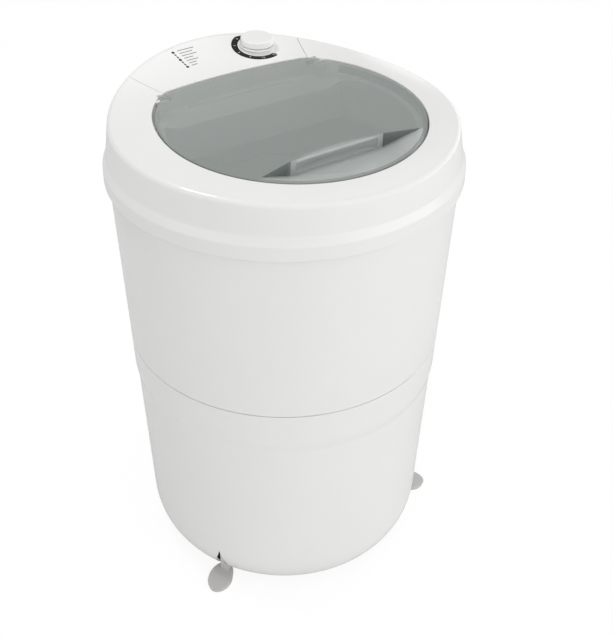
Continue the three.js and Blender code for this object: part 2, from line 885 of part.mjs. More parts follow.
// The notch through the shell, for a foot that points along X.
function footNotch() {
  const inner = baseFlatRadius;
  const outer = lipRadius;
  const section = [
    [-notchHalfWidth, 0], [notchHalfWidth, 0], [notchHalfWidth, notchShoulderHeight],
    [0, notchApexHeight], [-notchHalfWidth, notchShoulderHeight],
  ];
  return hull([inner, outer].flatMap((x) => section.map(([y, z]) => [x, y, z])));
}

function foot() {
  const centre = bottomRadius + footReach - padLength / 2;
  const fall = Math.tan(padSlope * degree);
  const toe = padLength * padSoleShare / 2;
  const pad = [];
  for (let step = 0; step < padSteps; step += 1) {
    const angle = 2 * Math.PI * step / padSteps;
    const along = padLength / 2 * Math.cos(angle);
    const across = padWidth / 2 * Math.sin(angle);
    const behind = Math.max(0, -along * padSoleShare - toe * padLiftShare);
    pad.push([centre + along, across, padTopHeight - along * fall]);
    pad.push([centre + along * padSoleShare, across * padSoleShare, behind * padToeLift / toe]);
  }
  const halfWidth = notchHalfWidth - wedgeGap;
  const inner = baseFlatRadius + fit;
  const apex = notchApexHeight - wedgeApexDrop;
  const low = bottomRadius - wedgeFootInset;
  const wedge = [
    [inner, 0, apex], [bottomRadius - wedgeTopRecess, 0, apex],
    [inner, -halfWidth, notchShoulderHeight], [inner, halfWidth, notchShoulderHeight],
    [inner, -halfWidth, wedgeBottomHeight], [inner, halfWidth, wedgeBottomHeight],
    [low, -halfWidth, wedgeBottomHeight], [low, halfWidth, wedgeBottomHeight],
  ];
  const bottom = floorTop + fit;
  const top = bottom + tongueThickness;
  const tongue = block(tongueEnd - tongueLength, tongueEnd, -tongueWidth / 2, tongueWidth / 2, bottom, top);
  const root = block(tongueEnd - wall, inner + wall, -halfWidth, halfWidth, bottom, top);
  const hole = disc(screwRadius + screwSlack, bottom - overrun, top - tongueSkin, screwSteps)
    .translate(tongueMiddle, 0, 0);
  return carve(hull(pad), [hull(wedge), tongue, root], [hole]);
}

const tongueEnd = baseFlatRadius - tongueEndInset;
const tongueMiddle = tongueEnd - tongueLength / 2;

function footScrews() {
  const length = floorThickness + tongueThickness - tongueSkin + fit;
  const piece = screw(screwRadius, screwHeadRadius, screwHeadHeight, length)
    .translate(0, 0, baseHeight - fit);
  return Object.values(footAngles).map((angle) => outward(piece, angle, tongueMiddle));
}

// Base cover

function baseCover() {
  const top = baseHeight - fit;
  const bottom = top - baseCoverThickness;
  const plate = disc(floorOpeningRadius + baseCoverOverlap, bottom, top, bodySteps);
  const vent = block(0, ventLength, -ventWidth / 2, ventWidth / 2, bottom - overrun, top + overrun);
  const hole = disc(screwRadius + screwSlack, bottom - overrun, top + overrun, screwSteps);
  return carve(plate, [], [
    ...around(ventCount, 0, ventInset, vent),
    ...around(baseScrewCount, 0, baseScrewCircle, hole),
  ]);
}

function baseCoverScrews() {
  const head = baseHeight - baseCoverThickness - 2 * fit;
  const piece = screw(screwRadius, screwHeadRadius, screwHeadHeight, floorTop - fit - head)
    .translate(0, 0, head);
  return around(baseScrewCount, 0, baseScrewCircle, piece);
}

// Top cover

function coverLoop(rim, open, throat, behindHinge) {
  const angle = Math.atan2(rim[1], rim[0]);
  const out = (radius, height) =>
    new THREE.Vector3(radius * Math.cos(angle), radius * Math.sin(angle), height);
  const rimZ = rimHeightAt(rim[1]);
  const wallTop = lipRadius - wallTopInset;
  const fillet = Array.from({ length: filletSteps }, (_, step) => {
    const turn = step / filletSteps * Math.PI / 2;
    const radius = rimRadius + (wallTop - rimRadius) * Math.cos(turn);
    return out(radius, rimZ - filletHeight * (1 - Math.sin(turn)));
  });
  const thickness = behindHinge ? panelDeckThickness : deckThickness;
  const deckLength = Math.hypot(rim[0] - open[0], rim[1] - open[1]);
  const under = (share) => deckPoint(rim, open, share, thickness);
  const ramp = THREE.MathUtils.clamp((open[1] - shelfRampFront) / (shelfRampBack - shelfRampFront), 0, 1);
  const ledge = lidPlaneAt(open[1]) - lerp(ledgeDrop, shelfDrop, ramp);
  const throatTop = ledge - ledgeFall;
  const throatBottom = coverSeat - throatDepth;
  const ledgeLength = Math.hypot(throat[0] - open[0], throat[1] - open[1]);
  const behind = (share) => [lerp(throat[0], open[0], share), lerp(throat[1], open[1], share)];
  const throatOut = behind(wall / ledgeLength);
  const wallOut = under(1 - wall / deckLength);
  const at = ([x, y], height) => new THREE.Vector3(x, y, height);
  return [
    out(lipInner, lipBottom),
    out(lipRadius, lipBottom),
    out(lipRadius - shoulderInset, shoulderTop),
    out(lipRadius - chamferInset, chamferTop),
    ...fillet,
    deckPoint(rim, open, 0, 0),
    deckPoint(rim, open, 1 / 2, 0),
    deckPoint(rim, open, 1, 0),
    at(open, ledge),
    at(throat, throatTop),
    at(throat, throatBottom),
    at(throatOut, throatBottom),
    at(throatOut, throatTop - wall),
    at([wallOut.x, wallOut.y], ledge - wall),
    wallOut,
    under(1 / 2),
    out(wallTop - wall, rimZ - filletHeight),
    out(lipRadius - chamferInset - wall, chamferTop),
    out(seatInner, coverSeat + wall),
    out(seatInner, coverSeat),
    out(lipInner, coverSeat),
  ];
}

const seatInner = tubFlangeRadius - seatWidth;
const hingeBossBottom = hingePlace.z - hingeBossDepth;
const hingeBore = () => disc(pinRadius + pinSlack, openCornerHalf, pinEnd + fit, smallSteps)
  .rotateY(Math.PI / 2).translate(0, hingePlace.y, hingePlace.z);

function topCover() {
  const loops = rimOutline.map((rim, spoke) => {
    const folded = Math.min(spoke, 2 * halfSpokes - spoke);
    return coverLoop(rim, openOutline[spoke], throatOutline[spoke], folded >= cornerSpoke);
  });
  const boss = disc(coverBossRadius, coverSeat, coverSeat + coverBossHeight, smallSteps);
  const inner = openCornerHalf - wall;
  const [front, back] = [hingePlace.y - hingeBossLength / 2, hingePlace.y + hingeBossLength / 2];
  const hingeBoss = carve(
    block(inner, inner + hingeBossWidth, front, back, hingeBossBottom, hingePlace.z + hingeBossCover),
    [],
    [prism(openOutline, hingeBossBottom - overrun, lidPlane + lidRise)],
  );
  const relief = block(inner, reliefHalf, hingePlace.y - reliefLength, hingePlace.y + reliefLength,
    hingePlace.z - reliefDepth, lidPlane + lidRise);
  const pocket = panelSlab(0, panelRimInset, -overrun, -overrun, panelThickness + panelSeatGap);
  const window = panelSlab(windowInset, panelRimInset + windowInset, windowInset, 0,
    panelDeckThickness + overrun);
  const panelHole = disc(clipRadius + fit, -panelDeckThickness - overrun, 0, smallSteps);
  return carve(loopRing(loops), [
    ...around(coverScrewCount, coverScrewStart, coverScrewCircle, boss),
    hingeBoss,
    mirrored(hingeBoss),
  ], [
    ...around(coverScrewCount, coverScrewStart, coverScrewCircle, coverScrewHole),
    relief,
    mirrored(relief),
    hingeBore(),
    mirrored(hingeBore()),
    pocket,
    window,
    ...panelClipFrames.map((frame) => panelHole.clone().applyMatrix4(frame)),
  ]);
}

// Control panel, with a flat seat for the bezel, one under it for the timer and four clips

function controlPanel() {
  const plate = panelSlab(panelSeam, panelRimInset + panelSeam, 0, 0, panelThickness);
  const catchTop = -panelDeckThickness - catchDrop;
  const clip = revolve([
    [0, -panelThickness / 2],
    [clipRadius, -panelThickness / 2],
    [clipRadius, catchTop],
    [clipRadius + catchReach, catchTop],
    [clipRadius - catchReach, catchTop - catchLength],
    [0, catchTop - catchLength],
  ], smallSteps);
  const trim = disc(knobPadRadius, 0, knobPadLift + overrun, knobSteps).applyMatrix4(timerFrame);
  const seat = disc(timerSeatRadius, -timerSeatDepth, -knobPadLift, roundSteps).applyMatrix4(timerFrame);
  const hole = disc(timerNeckRadius + fit, -timerSeatDepth - overrun, overrun, roundSteps)
    .applyMatrix4(timerFrame);
  return carve(plate, [
    ...panelClipFrames.map((frame) => clip.clone().applyMatrix4(frame)),
    knobPad(),
    seat,
  ], [trim, hole]);
}

// The pad joins a level rim under the bezel to the slanted panel.
function knobPad() {
  const rimPoints = (height, frame) => Array.from({ length: knobSteps }, (_, step) => {
    const [x, y] = polar(knobPadRadius, fullTurn * step / knobSteps);
    return new THREE.Vector3(x, y, height).applyMatrix4(frame).toArray();
  });
  return hull([...rimPoints(0, timerFrame), ...rimPoints(-knobPadSink, knobPlace)]);
}

// Timer, in the frame that stands on the pad

const knobBottom = fit + bezelHeight + knobGap;

function knobBezel() {
  return revolve([
    [bezelHoleRadius, fit],
    [bezelRadius, fit],
    [bezelRadius, fit + bezelBandHeight],
    [bezelTopRadius, fit + bezelHeight],
    [bezelHoleRadius, fit + bezelHeight],
  ], knobSteps);
}

function timerKnob() {
  const bore = timerShaftRadius + fit;
  const top = knobBottom + knobHeight;
  return revolve([
    [0, timerShaftHeight + fit],
    [bore, timerShaftHeight + fit],
    [bore, knobBottom],
    [knobRadius, knobBottom],
    [knobRadius, knobBottom + knobSkirtHeight],
    [knobGripRadius, knobBottom + knobSkirtHeight + knobSkirtRise],
    [knobTopRadius, top - knobCrown],
    [knobTopRadius - knobCrownInset, top],
    [0, top],
  ], knobSteps);
}

const timerShaft = () =>
  disc(timerShaftRadius, -timerSeatDepth - timerShaftInsertion, timerShaftHeight, smallSteps);

function timerBody() {
  const top = -timerSeatDepth - fit;
  const [front, back] = [-timerBodyLength / 2 - timerBodyShift, timerBodyLength / 2 - timerBodyShift];
  const box = block(-timerBodyWidth / 2, timerBodyWidth / 2, front, back, top - timerBodyHeight, top);
  const neck = disc(timerNeckRadius, top - overrun, timerNeckRise, roundSteps);
  const bore = disc(timerShaftRadius + fit, top - timerShaftInsertion, timerNeckRise + overrun, smallSteps);
  return carve(box, [neck], [bore]);
}

const timerNut = () => nut(timerNutRadius, timerNeckRadius + fit, fit, fit + timerNutHeight);

// Lid, in the frame that lies on the plane of the opening

function arc(radius, from, to, steps) {
  return Array.from({ length: steps + 1 }, (_, step) => {
    const angle = lerp(from, to, step / steps);
    return [radius * Math.cos(angle), radius * Math.sin(angle) - openBack];
  });
}

function lidSkirt() {
  const outer = openRadius - lidGap - skirtInset;
  const end = Math.asin((skirtBack + openBack) / outer);
  const outline = [
    ...arc(outer, -Math.PI - end, end, skirtSteps),
    ...arc(outer - skirtThickness, end, -Math.PI - end, skirtSteps),
  ];
  return prism(outline, fit - ledgeDrop, -lidThickness / 2);
}

// The scoop and the pocket behind it, grown by a wall to make their outside.
function scoop(grow, top) {
  const front = Math.atan2(openBack - scoopTipFront, scoopTipHalf);
  const rim = arc(openRadius - lidGap - scoopRimWidth + grow / 2, -Math.PI - front, front, scoopArcSteps);
  const [half, tip] = [scoopStepHalf + grow, scoopTipHalf + grow];
  const step = grow - scoopStepFront;
  const points = [
    ...rim.flatMap(([x, y]) => [[x, y, top], [x, y, -grow]]),
    ...[-tip, tip].flatMap((x) => [[x, grow - scoopTipFront, top], [x, grow - scoopTipFront, -grow]]),
    ...[-half, half].flatMap((x) => [[x, step, top], [x, step, -scoopDepth - grow]]),
  ];
  return hull(points);
}

function scoopPocket(grow) {
  const points = Array.from({ length: pocketSteps + 1 }, (_, step) => {
    const angle = Math.PI * step / pocketSteps;
    return [(pocketHalf + grow) * Math.cos(angle), (pocketDepth + grow) * Math.sin(angle) - scoopStepFront];
  });
  points.push([-pocketHalf, -scoopStepFront - wall], [pocketHalf, -scoopStepFront - wall]);
  return prism(points, -pocketBottomDrop - grow, grow - pocketTopDrop);
}

function lid() {
  const plate = prism(lidOutline, -lidThickness, 0);
  const ear = disc(earRadius, earInner, earInner + earWidth, smallSteps)
    .rotateY(Math.PI / 2).translate(0, hingeBack, -hingeDrop);
  const pinHole = disc(pinRadius + pinSlack, pinStart - fit, pinEnd, smallSteps)
    .rotateY(Math.PI / 2).translate(0, hingeBack, -hingeDrop);
  return carve(plate, [
    lidSkirt(),
    ear,
    mirrored(ear),
    scoop(scoopWall, -lidThickness / 2),
    scoopPocket(scoopWall),
  ], [
    scoop(0, overrun),
    scoopPocket(0),
    pinHole,
    mirrored(pinHole),
  ]);
}

const lidPin = (side) => disc(pinRadius, pinStart, pinEnd, smallSteps)
  .rotateY(side * Math.PI / 2).translate(0, hingePlace.y, hingePlace.z);

// Wash tub

const tubCornerCentre = tubFloorTop + tubCornerRadius;
const tubFlat = tubBottomRadius - tubCornerRadius;

function washTub() {
  const cornerRadius = tubCornerRadius + wall;
  const cornerRise = tubCornerRadius + tubFloorThickness;
  const outside = revolve([
    [0, tubBossBottom],
    [tubBossRadius, tubBossBottom],
    [tubBossRadius, tubFloorUnder],
    ...quarterRound(tubFlat, tubCornerCentre, cornerRadius, cornerRise, tubCornerSteps),
    [tubTopRadius + wall, tubFlangeBottom],
    [tubFlangeRadius, tubFlangeBottom],
    [tubFlangeRadius, tubFlangeTop],
    [0, tubFlangeTop],
  ], tubSteps);
  const inside = revolve([
    [0, tubFloorTop],
    ...quarterRound(tubFlat, tubCornerCentre, tubCornerRadius, tubCornerRadius, tubCornerSteps),
    [tubTopRadius, tubFlangeTop],
    [tubTopRadius, tubFlangeTop + overrun],
    [0, tubFlangeTop + overrun],
  ], tubSteps);
  const post = disc(postRadius, postBottom, tubCornerCentre, smallSteps);
  const postHoleTop = postBottom + postScrewBite + fit;
  const postHole = disc(screwRadius + screwSlack, postBottom - overrun, postHoleTop, screwSteps);
  return carve(outside, postPlaces.map(([x, y]) => post.clone().translate(x, y, 0)), [
    inside,
    disc(tubSealRadius, housingTop, tubCornerCentre, roundSteps),
    outward(disc(outletRadius + fit, housingTop, tubCornerCentre, roundSteps), drainAngle, drainCircle),
    ...postPlaces.map(([x, y]) => postHole.clone().translate(x, y, 0)),
    ...around(coverScrewCount, coverScrewStart, coverScrewCircle, coverScrewHole),
  ]);
}

const postPlaces = [-postHalfSpan, postHalfSpan].flatMap((x) => [
  [x, beltCentres - postHalfDepth],
  [x, beltCentres + postHalfDepth],
]);

// Pulsator and drive shaft

const pulsatorBase = tubFloorTop + pulsatorLift;
const shaftTop = tubFloorTop + shaftTopAboveFloor;
const shaftBore = shaftRadius + fit;
const webBottom = shaftTop + fit;
const webTop = webBottom + boltWeb;
const nutBottom = drivenHubBottom - fit - pulleyNutHeight;

function pulsator() {
  const recess = boltHeadRadius + boltRecess;
  const body = revolve([
    [shaftBore, pulsatorBase],
    [shaftBore, webBottom],
    [boltRadius + fit, webBottom],
    [boltRadius + fit, webTop],
    [recess, webTop],
    [recess, pulsatorBase + pulsatorHubHeight - boltRecess],
    [recess + boltRecess, pulsatorBase + pulsatorHubHeight],
    [pulsatorHubTop, pulsatorBase + pulsatorHubHeight],
    [pulsatorHubRadius, pulsatorBase + pulsatorShoulder],
    [pulsatorHubRadius + pulsatorFlare, pulsatorBase + pulsatorDish],
    [pulsatorRadius, pulsatorBase + pulsatorEdge],
    [pulsatorRadius, pulsatorBase],
  ], pulsatorSteps);
  const section = (x, height) => [
    [x, -vaneWidth / 2, pulsatorBase + vaneSink], [x, vaneWidth / 2, pulsatorBase + vaneSink],
    [x, -vaneTopWidth / 2, pulsatorBase + height], [x, vaneTopWidth / 2, pulsatorBase + height],
  ];
  const vane = hull([...section(vaneInner, vaneInnerHeight), ...section(vaneOuter, vaneOuterHeight)]);
  return carve(body, around(vaneCount, 0, 0, vane), []);
}

function pulsatorBolt() {
  return screw(boltRadius, boltHeadRadius, boltHeadHeight, boltWeb + boltBite)
    .rotateX(Math.PI).translate(0, 0, webTop + fit);
}

function driveShaft() {
  const bore = boltRadius + fit;
  const depth = boltBite + fit;
  const bottom = nutBottom - shaftTail;
  return revolve([
    [0, bottom], [shaftRadius, bottom], [shaftRadius, shaftTop],
    [bore, shaftTop], [bore, shaftTop - depth], [0, shaftTop - depth],
  ], roundSteps);
}

const shaftSeal = () =>
  ring(shaftBore, tubSealRadius - fit, tubBossBottom, tubBossBottom + sealHeight, roundSteps);

function bearingHousing() {
  return revolve([
    [housingBoreRadius, housingBottom],
    [housingRadius, housingBottom],
    [housingRadius, housingTop - housingFlangeHeight],
    [housingFlangeRadius, housingTop - housingFlangeHeight],
    [housingFlangeRadius, housingTop],
    [housingBoreRadius, housingTop],
  ], roundSteps);
}

const bushAt = (bottom) => ring(shaftBore, housingBoreRadius - fit, bottom, bottom + bushHeight, roundSteps);
const upperBush = () => bushAt(housingTop - bushEndGap - bushHeight);
const lowerBush = () => bushAt(housingBottom + bushEndGap);
const thrustWasher = () => ring(shaftBore, thrustWasherRadius, thrustWasherBottom,
  thrustWasherBottom + thrustWasherHeight, roundSteps);

// Belt drive

function grooveProfile(radius) {
  return [
    [radius, pulleyPlane - pulleyRimHeight / 2],
    [radius, pulleyPlane - grooveMouthWidth / 2],
    [radius - grooveDepth, pulleyPlane - grooveFloorWidth / 2],
    [radius - grooveDepth, pulleyPlane + grooveFloorWidth / 2],
    [radius, pulleyPlane + grooveMouthWidth / 2],
    [radius, pulleyPlane + pulleyRimHeight / 2],
  ];
}

function drivenPulley() {
  const rimInner = drivenRadius - drivenRimThickness;
  const [webLow, webHigh] = [pulleyPlane - drivenWebThickness / 2, pulleyPlane + drivenWebThickness / 2];
  const body = revolve([
    [shaftBore, drivenHubBottom],
    [drivenHubRadius, drivenHubBottom],
    [drivenHubRadius, webLow],
    [rimInner, webLow],
    [rimInner, pulleyPlane - pulleyRimHeight / 2],
    ...grooveProfile(drivenRadius),
    [rimInner, pulleyPlane + pulleyRimHeight / 2],
    [rimInner, webHigh],
    [drivenHubRadius, webHigh],
    [drivenHubRadius, drivenHubTop],
    [shaftBore, drivenHubTop],
  ], pulleySteps);
  const hole = disc(drivenHoleRadius, webLow - overrun, webHigh + overrun, smallSteps);
  return carve(body, [], around(drivenHoleCount, 0, drivenHoleCircle, hole));
}

function motorPulley() {
  const bore = motorShaftRadius + fit;
  return revolve([
    [bore, pulleyPlane - pulleyRimHeight / 2],
    ...grooveProfile(motorPulleyRadius),
    [bore, pulleyPlane + pulleyRimHeight / 2],
  ], roundSteps);
}

function nut(radius, bore, bottom, top) {
  const hole = disc(bore, bottom - overrun, top + overrun, roundSteps);
  return carve(disc(radius, bottom, top, nutSides), [], [hole]);
}

const pulleyNut = () => nut(pulleyNutRadius, shaftBore, nutBottom, nutBottom + pulleyNutHeight);

// The belt runs round both grooves and straight between them, clear of the groove walls.
function driveBelt() {
  const lean = Math.asin((drivenRadius - motorPulleyRadius) / beltCentres);
  const flank = (grooveMouthWidth - grooveFloorWidth) / 2 / grooveDepth;
  const sections = [];
  const wrap = (centre, radius, from, to, steps) => {
    const shorten = Math.cos((to - from) / steps / 2);
    const inner = (radius - grooveDepth + beltSlack) / shorten;
    const outer = radius + beltProud;
    const halfWidthAt = (reach) => grooveFloorWidth / 2 + (reach - radius + grooveDepth) * flank - beltSlack;
    for (let step = 0; step <= steps; step += 1) {
      const angle = lerp(from, to, step / steps);
      const at = (reach, side) => new THREE.Vector3(reach * Math.cos(angle),
        centre + reach * Math.sin(angle), pulleyPlane + side * halfWidthAt(reach));
      sections.push([at(inner, -1), at(outer, -1), at(outer, 1), at(inner, 1)]);
    }
  };
  wrap(beltCentres, motorPulleyRadius, lean, Math.PI - lean, beltSmallSteps);
  wrap(0, drivenRadius, Math.PI - lean, 2 * Math.PI + lean, beltBigSteps);
  return loopRing(sections);
}

// Motor, on its own axis

function endFrame(low, high, plateSide) {
  const bore = motorShaftRadius + fit;
  const face = plateSide > 0 ? high : low;
  const open = plateSide > 0 ? low : high;
  return revolve([
    [bore, face],
    [motorRadius, face],
    [motorRadius, open],
    [motorRadius - frameWall, open],
    [motorRadius - frameWall, face - plateSide * framePlate],
    [frameHubRadius, face - plateSide * framePlate],
    [frameHubRadius, face - plateSide * frameHubLength],
    [bore, face - plateSide * frameHubLength],
  ], roundSteps);
}

// The upper frame has ears that screw up under the posts of the tub.
function upperFrame() {
  const corner = (x, y, from) => Array.from({ length: earCornerSteps + 1 }, (_, step) => {
    const angle = (from + 90 * step / earCornerSteps) * degree;
    return [x + earCorner * Math.cos(angle), y + earCorner * Math.sin(angle)];
  });
  const [x, y] = [earHalfWidth - earCorner, earHalfDepth - earCorner];
  const outline = [...corner(x, y, 0), ...corner(-x, y, 90), ...corner(-x, -y, 180), ...corner(x, -y, 270)];
  const low = upperFrameTop - framePlate;
  const hole = disc(screwRadius + screwSlack, low - overrun, upperFrameTop + overrun, screwSteps);
  return carve(endFrame(upperFrameBottom, upperFrameTop, 1), [prism(outline, low, upperFrameTop)], [
    disc(motorShaftRadius + fit, low - overrun, upperFrameTop + overrun, roundSteps),
    ...postPlaces.map(([px, py]) => hole.clone().translate(px, py - beltCentres, 0)),
  ]);
}

const lowerFrame = () => endFrame(lowerFrameBottom, lowerFrameTop, -1);

function stator() {
  const body = ring(rotorRadius + rotorGap, motorRadius, statorBottom, statorTop, roundSteps);
  const slot = block(slotInner, slotInner + slotLength, -slotWidth / 2, slotWidth / 2,
    statorBottom - overrun, statorTop + overrun);
  return carve(body, [], around(slotCount, 0, 0, slot));
}

// The windings run through the slots of the stator and turn over at both of its ends.
function windings() {
  const outer = motorRadius - frameWall - fit;
  const [low, high] = [statorBottom - fit, statorTop + fit];
  const lower = ring(windingInner, outer, low - windingHeight, low, roundSteps);
  const upper = ring(windingInner, outer, high, high + windingHeight, roundSteps);
  const bar = block(slotInner + fit, slotInner + slotLength - fit, fit - slotWidth / 2, slotWidth / 2 - fit,
    low - windingHeight / 2, high + windingHeight / 2);
  return carve(lower, [upper, ...around(slotCount, 0, 0, bar)], []);
}

const rotor = () => ring(motorShaftRadius + fit, rotorRadius, statorBottom + rotorInset,
  statorTop - rotorInset, roundSteps);
const motorShaft = () => disc(motorShaftRadius, fanBottom - motorShaftTail,
  pulleyPlane + pulleyRimHeight / 2 + motorShaftHead, roundSteps);

function fan() {
  const bore = motorShaftRadius + fit;
  const plate = revolve([
    [bore, fanBottom],
    [fanRadius, fanBottom],
    [fanRadius, fanBottom + fanPlateThickness],
    [fanHubRadius, fanBottom + fanPlateThickness],
    [fanHubRadius, fanBottom + fanHeight],
    [bore, fanBottom + fanHeight],
  ], roundSteps);
  const blade = block(fanHubRadius - fanBladeThickness, fanRadius - fanBladeThickness,
    -fanBladeThickness / 2, fanBladeThickness / 2, fanBottom + fanPlateThickness / 2, fanBottom + fanHeight);
  return carve(plate, around(fanBladeCount, 0, 0, blade), []);
}

function motorScrews() {
  const head = upperFrameTop - framePlate - fit;
  const piece = screw(screwRadius, screwHeadRadius, screwHeadHeight, postBottom + postScrewBite - head)
    .translate(0, 0, head);
  return postPlaces.map(([x, y]) => piece.clone().translate(x, y - beltCentres, 0));
}

// Capacitor, in a frame on its own axis with X pointing away from the body's middle

function capacitor() {
  const bottom = floorTop + fit;
  const top = bottom + capacitorHeight;
  const can = revolve([
    [0, bottom],
    [capacitorRadius, bottom],
    [capacitorRadius, top - clampThickness],
    [capacitorRadius - clampThickness, top],
    [0, top],
  ], roundSteps);
  const half = capacitorRadius / 2;
  const terminal = block(half - terminalWidth / 2, half + terminalWidth / 2,
    -terminalThickness, terminalThickness, top - clampThickness, top + terminalHeight);
  return carve(can, [terminal, mirrored(terminal)], []);
}

const clampScrewOut = capacitorRadius + fit + clampThickness + clampFootLength / 2;

function capacitorClamp() {
  const inner = capacitorRadius + fit;
  const outer = inner + clampThickness;
  const bottom = floorTop + fit;
  const [low, high] = [bottom + clampRise, bottom + clampRise + clampHeight];
  const half = clampFootWidth / 2;
  const strap = ring(inner, outer, low, high, roundSteps);
  const leg = block(-half, half, outer - clampThickness / 4, outer + clampThickness, bottom, high);
  const footPlate = block(-half, half, outer, outer + clampFootLength, bottom, bottom + clampThickness);
  const hole = disc(screwRadius + screwSlack, floorTop - overrun, high, screwSteps)
    .translate(0, clampScrewOut, 0);
  return carve(strap, [leg, footPlate], [hole]);
}

function clampScrew() {
  const head = floorTop + 2 * fit + clampThickness;
  return screw(screwRadius, screwHeadRadius, screwHeadHeight, head - baseHeight - fit)
    .rotateX(Math.PI).translate(0, clampScrewOut, head);
}

function clampScrewHole(bottom, top) {
  return outward(disc(screwRadius + screwSlack, bottom, top, screwSteps).translate(0, clampScrewOut, 0),
    capacitorAngle, capacitorCircle);
}

// Drain, from the strainer in the tub floor to the spigot through the shell

const outletTop = tubFloorUnder - fit;
const outletBottom = outletTop - outletLength;
const hoseInner = (outletRadius + fit) / Math.cos(Math.PI / hoseSides);
const hoseOuter = hoseInner + hoseWall;
const hoseEnd = portInner(drainWallRadius) - catchWidth - 2 * fit;

function drainStrainer() {
  const top = tubFloorTop + fit + strainerThickness;
  const plate = disc(strainerRadius, tubFloorTop + fit, top, roundSteps);
  const sleeve = ring(outletBore - fit - strainerThickness, outletBore - fit, tubFloorUnder - strainerBite,
    top - strainerThickness / 2, roundSteps);
  const hole = disc(strainerHoleRadius, tubFloorUnder, top + overrun, screwSteps);
  return carve(plate, [sleeve], [hole, ...around(strainerHoleCount, 0, strainerHoleCircle, hole)]);
}

function drainOutlet() {
  const flangeBottom = outletTop - outletFlangeHeight;
  return revolve([
    [outletBore, outletBottom],
    [outletRadius, outletBottom],
    [outletRadius, flangeBottom],
    [outletFlangeRadius, flangeBottom],
    [outletFlangeRadius, outletTop],
    [outletRadius, outletTop],
    [outletRadius, tubFloorTop],
    [outletBore, tubFloorTop],
  ], roundSteps);
}

// The hose drops from the outlet and bends outward to the spigot, in the plane of its angle.
function drainHose() {
  const section = new THREE.Shape().absarc(0, 0, hoseOuter, 0, 2 * Math.PI);
  section.holes.push(new THREE.Path().absarc(0, 0, hoseInner, 0, 2 * Math.PI));
  const at = (x, z) => new THREE.Vector3(x, 0, z);
  const top = at(drainCircle, outletBottom + hoseOverlap);
  const bendStart = at(drainCircle, spigotHeight + hoseBend);
  const bendEnd = at(drainCircle + hoseBend, spigotHeight);
  const path = new THREE.CurvePath();
  path.add(new THREE.LineCurve3(top, bendStart));
  path.add(new THREE.QuadraticBezierCurve3(bendStart, at(drainCircle, spigotHeight), bendEnd));
  path.add(new THREE.LineCurve3(bendEnd, at(hoseEnd, spigotHeight)));
  const geometry = new THREE.ExtrudeGeometry(section,
    { extrudePath: path, steps: hoseSteps, curveSegments: hoseSides / 2 });
  return weld(geometry.rotateZ(drainAngle * degree));
}

function drainSpigot() {
  const face = portOuter(drainWallRadius) + fit;
  const body = revolve([
    [outletBore, hoseEnd - spigotBarbLength],
    [outletRadius, hoseEnd - spigotBarbLength],
    [outletRadius, hoseEnd + fit / 2],
    [spigotRadius, hoseEnd + fit / 2],
    [spigotRadius + catchRise, portInner(drainWallRadius) - fit],
    [spigotRadius, portInner(drainWallRadius) - fit],
    [spigotRadius, face],
    [spigotFlangeRadius, face],
    [spigotFlangeRadius, face + spigotFlangeHeight],
    [spigotRadius, face + spigotFlangeHeight],
    [spigotRadius, face + spigotReach],
    [outletBore, face + spigotReach],
  ], roundSteps);
  return lieOutward(body, drainAngle, spigotHeight);
}

// Cable gland

function cableGland() {
  const face = portOuter(glandWallRadius) + fit;
  const back = portInner(glandWallRadius) - fit;
  const body = revolve([
    [glandBore, back - catchWidth],
    [glandRadius, back - catchWidth],
    [glandRadius + catchRise, back],
    [glandRadius, back],
    [glandRadius, face],
    [glandFlangeRadius, face],
    [glandFlangeRadius, face + glandFlangeHeight],
    [glandRadius, face + glandFlangeHeight],
    [glandNoseRadius, face + glandFlangeHeight + glandNose],
    [glandBore, face + glandFlangeHeight + glandNose],
  ], roundSteps);
  return lieOutward(body, glandAngle, glandHeight);
}

// Finishes

const finish = (color, roughness, metalness) =>
  new THREE.MeshStandardMaterial({ color, roughness, metalness, flatShading: true });
const whitePlastic = () => finish(0xececea, 0.35, 0);
const softWhite = () => finish(0xdededb, 0.5, 0);
const greyPlastic = () => finish(0xa8a7a3, 0.6, 0);
const blackPlastic = () => finish(0x26282a, 0.6, 0);
const rubber = () => finish(0x1d1e1f, 0.9, 0);
const zincSteel = () => finish(0xb4b8bc, 0.35, 0.9);
const darkSteel = () => finish(0x5e6266, 0.5, 0.8);
const castAluminium = () => finish(0xa9adb0, 0.55, 0.8);
const copper = () => finish(0x9c5a35, 0.5, 0.6);
const brass = () => finish(0xb08d4a, 0.4, 0.9);

function clearLid() {
  const material = finish(0x8f9793, 0.15, 0);
  material.transparent = true;
  material.opacity = 0.6;
  return material;
}

// Assembly

const washer = new THREE.Group();

function add(parent, name, geometry, material) {
  geometry.computeVertexNormals();
  const mesh = new THREE.Mesh(geometry, material);
  mesh.name = name;
  parent.add(mesh);
  return mesh;
}

function addEach(parent, name, geometries, material) {
  geometries.forEach((geometry, item) => add(parent, `${name}_${item + 1}`, geometry, material()));
}

function framed(matrix) {
  const frame = new THREE.Group();
  frame.applyMatrix4(matrix);
  washer.add(frame);
  return frame;
}

add(washer, 'lower_shell', lowerShell(), whitePlastic());
add(washer, 'upper_shell', upperShell(), whitePlastic());
addEach(washer, 'shell_screw', shellScrews(), zincSteel);
for (const [name, angle] of Object.entries(footAngles)) {
  add(washer, name, foot(), greyPlastic()).rotation.z = angle * degree;
}
addEach(washer, 'foot_screw', footScrews(), zincSteel);
add(washer, 'base_cover', baseCover(), blackPlastic());
addEach(washer, 'base_cover_screw', baseCoverScrews(), zincSteel);
add(washer, 'top_cover', topCover(), whitePlastic());
addEach(washer, 'cover_screw', coverScrews(), zincSteel);
add(washer, 'control_panel', controlPanel(), whitePlastic());

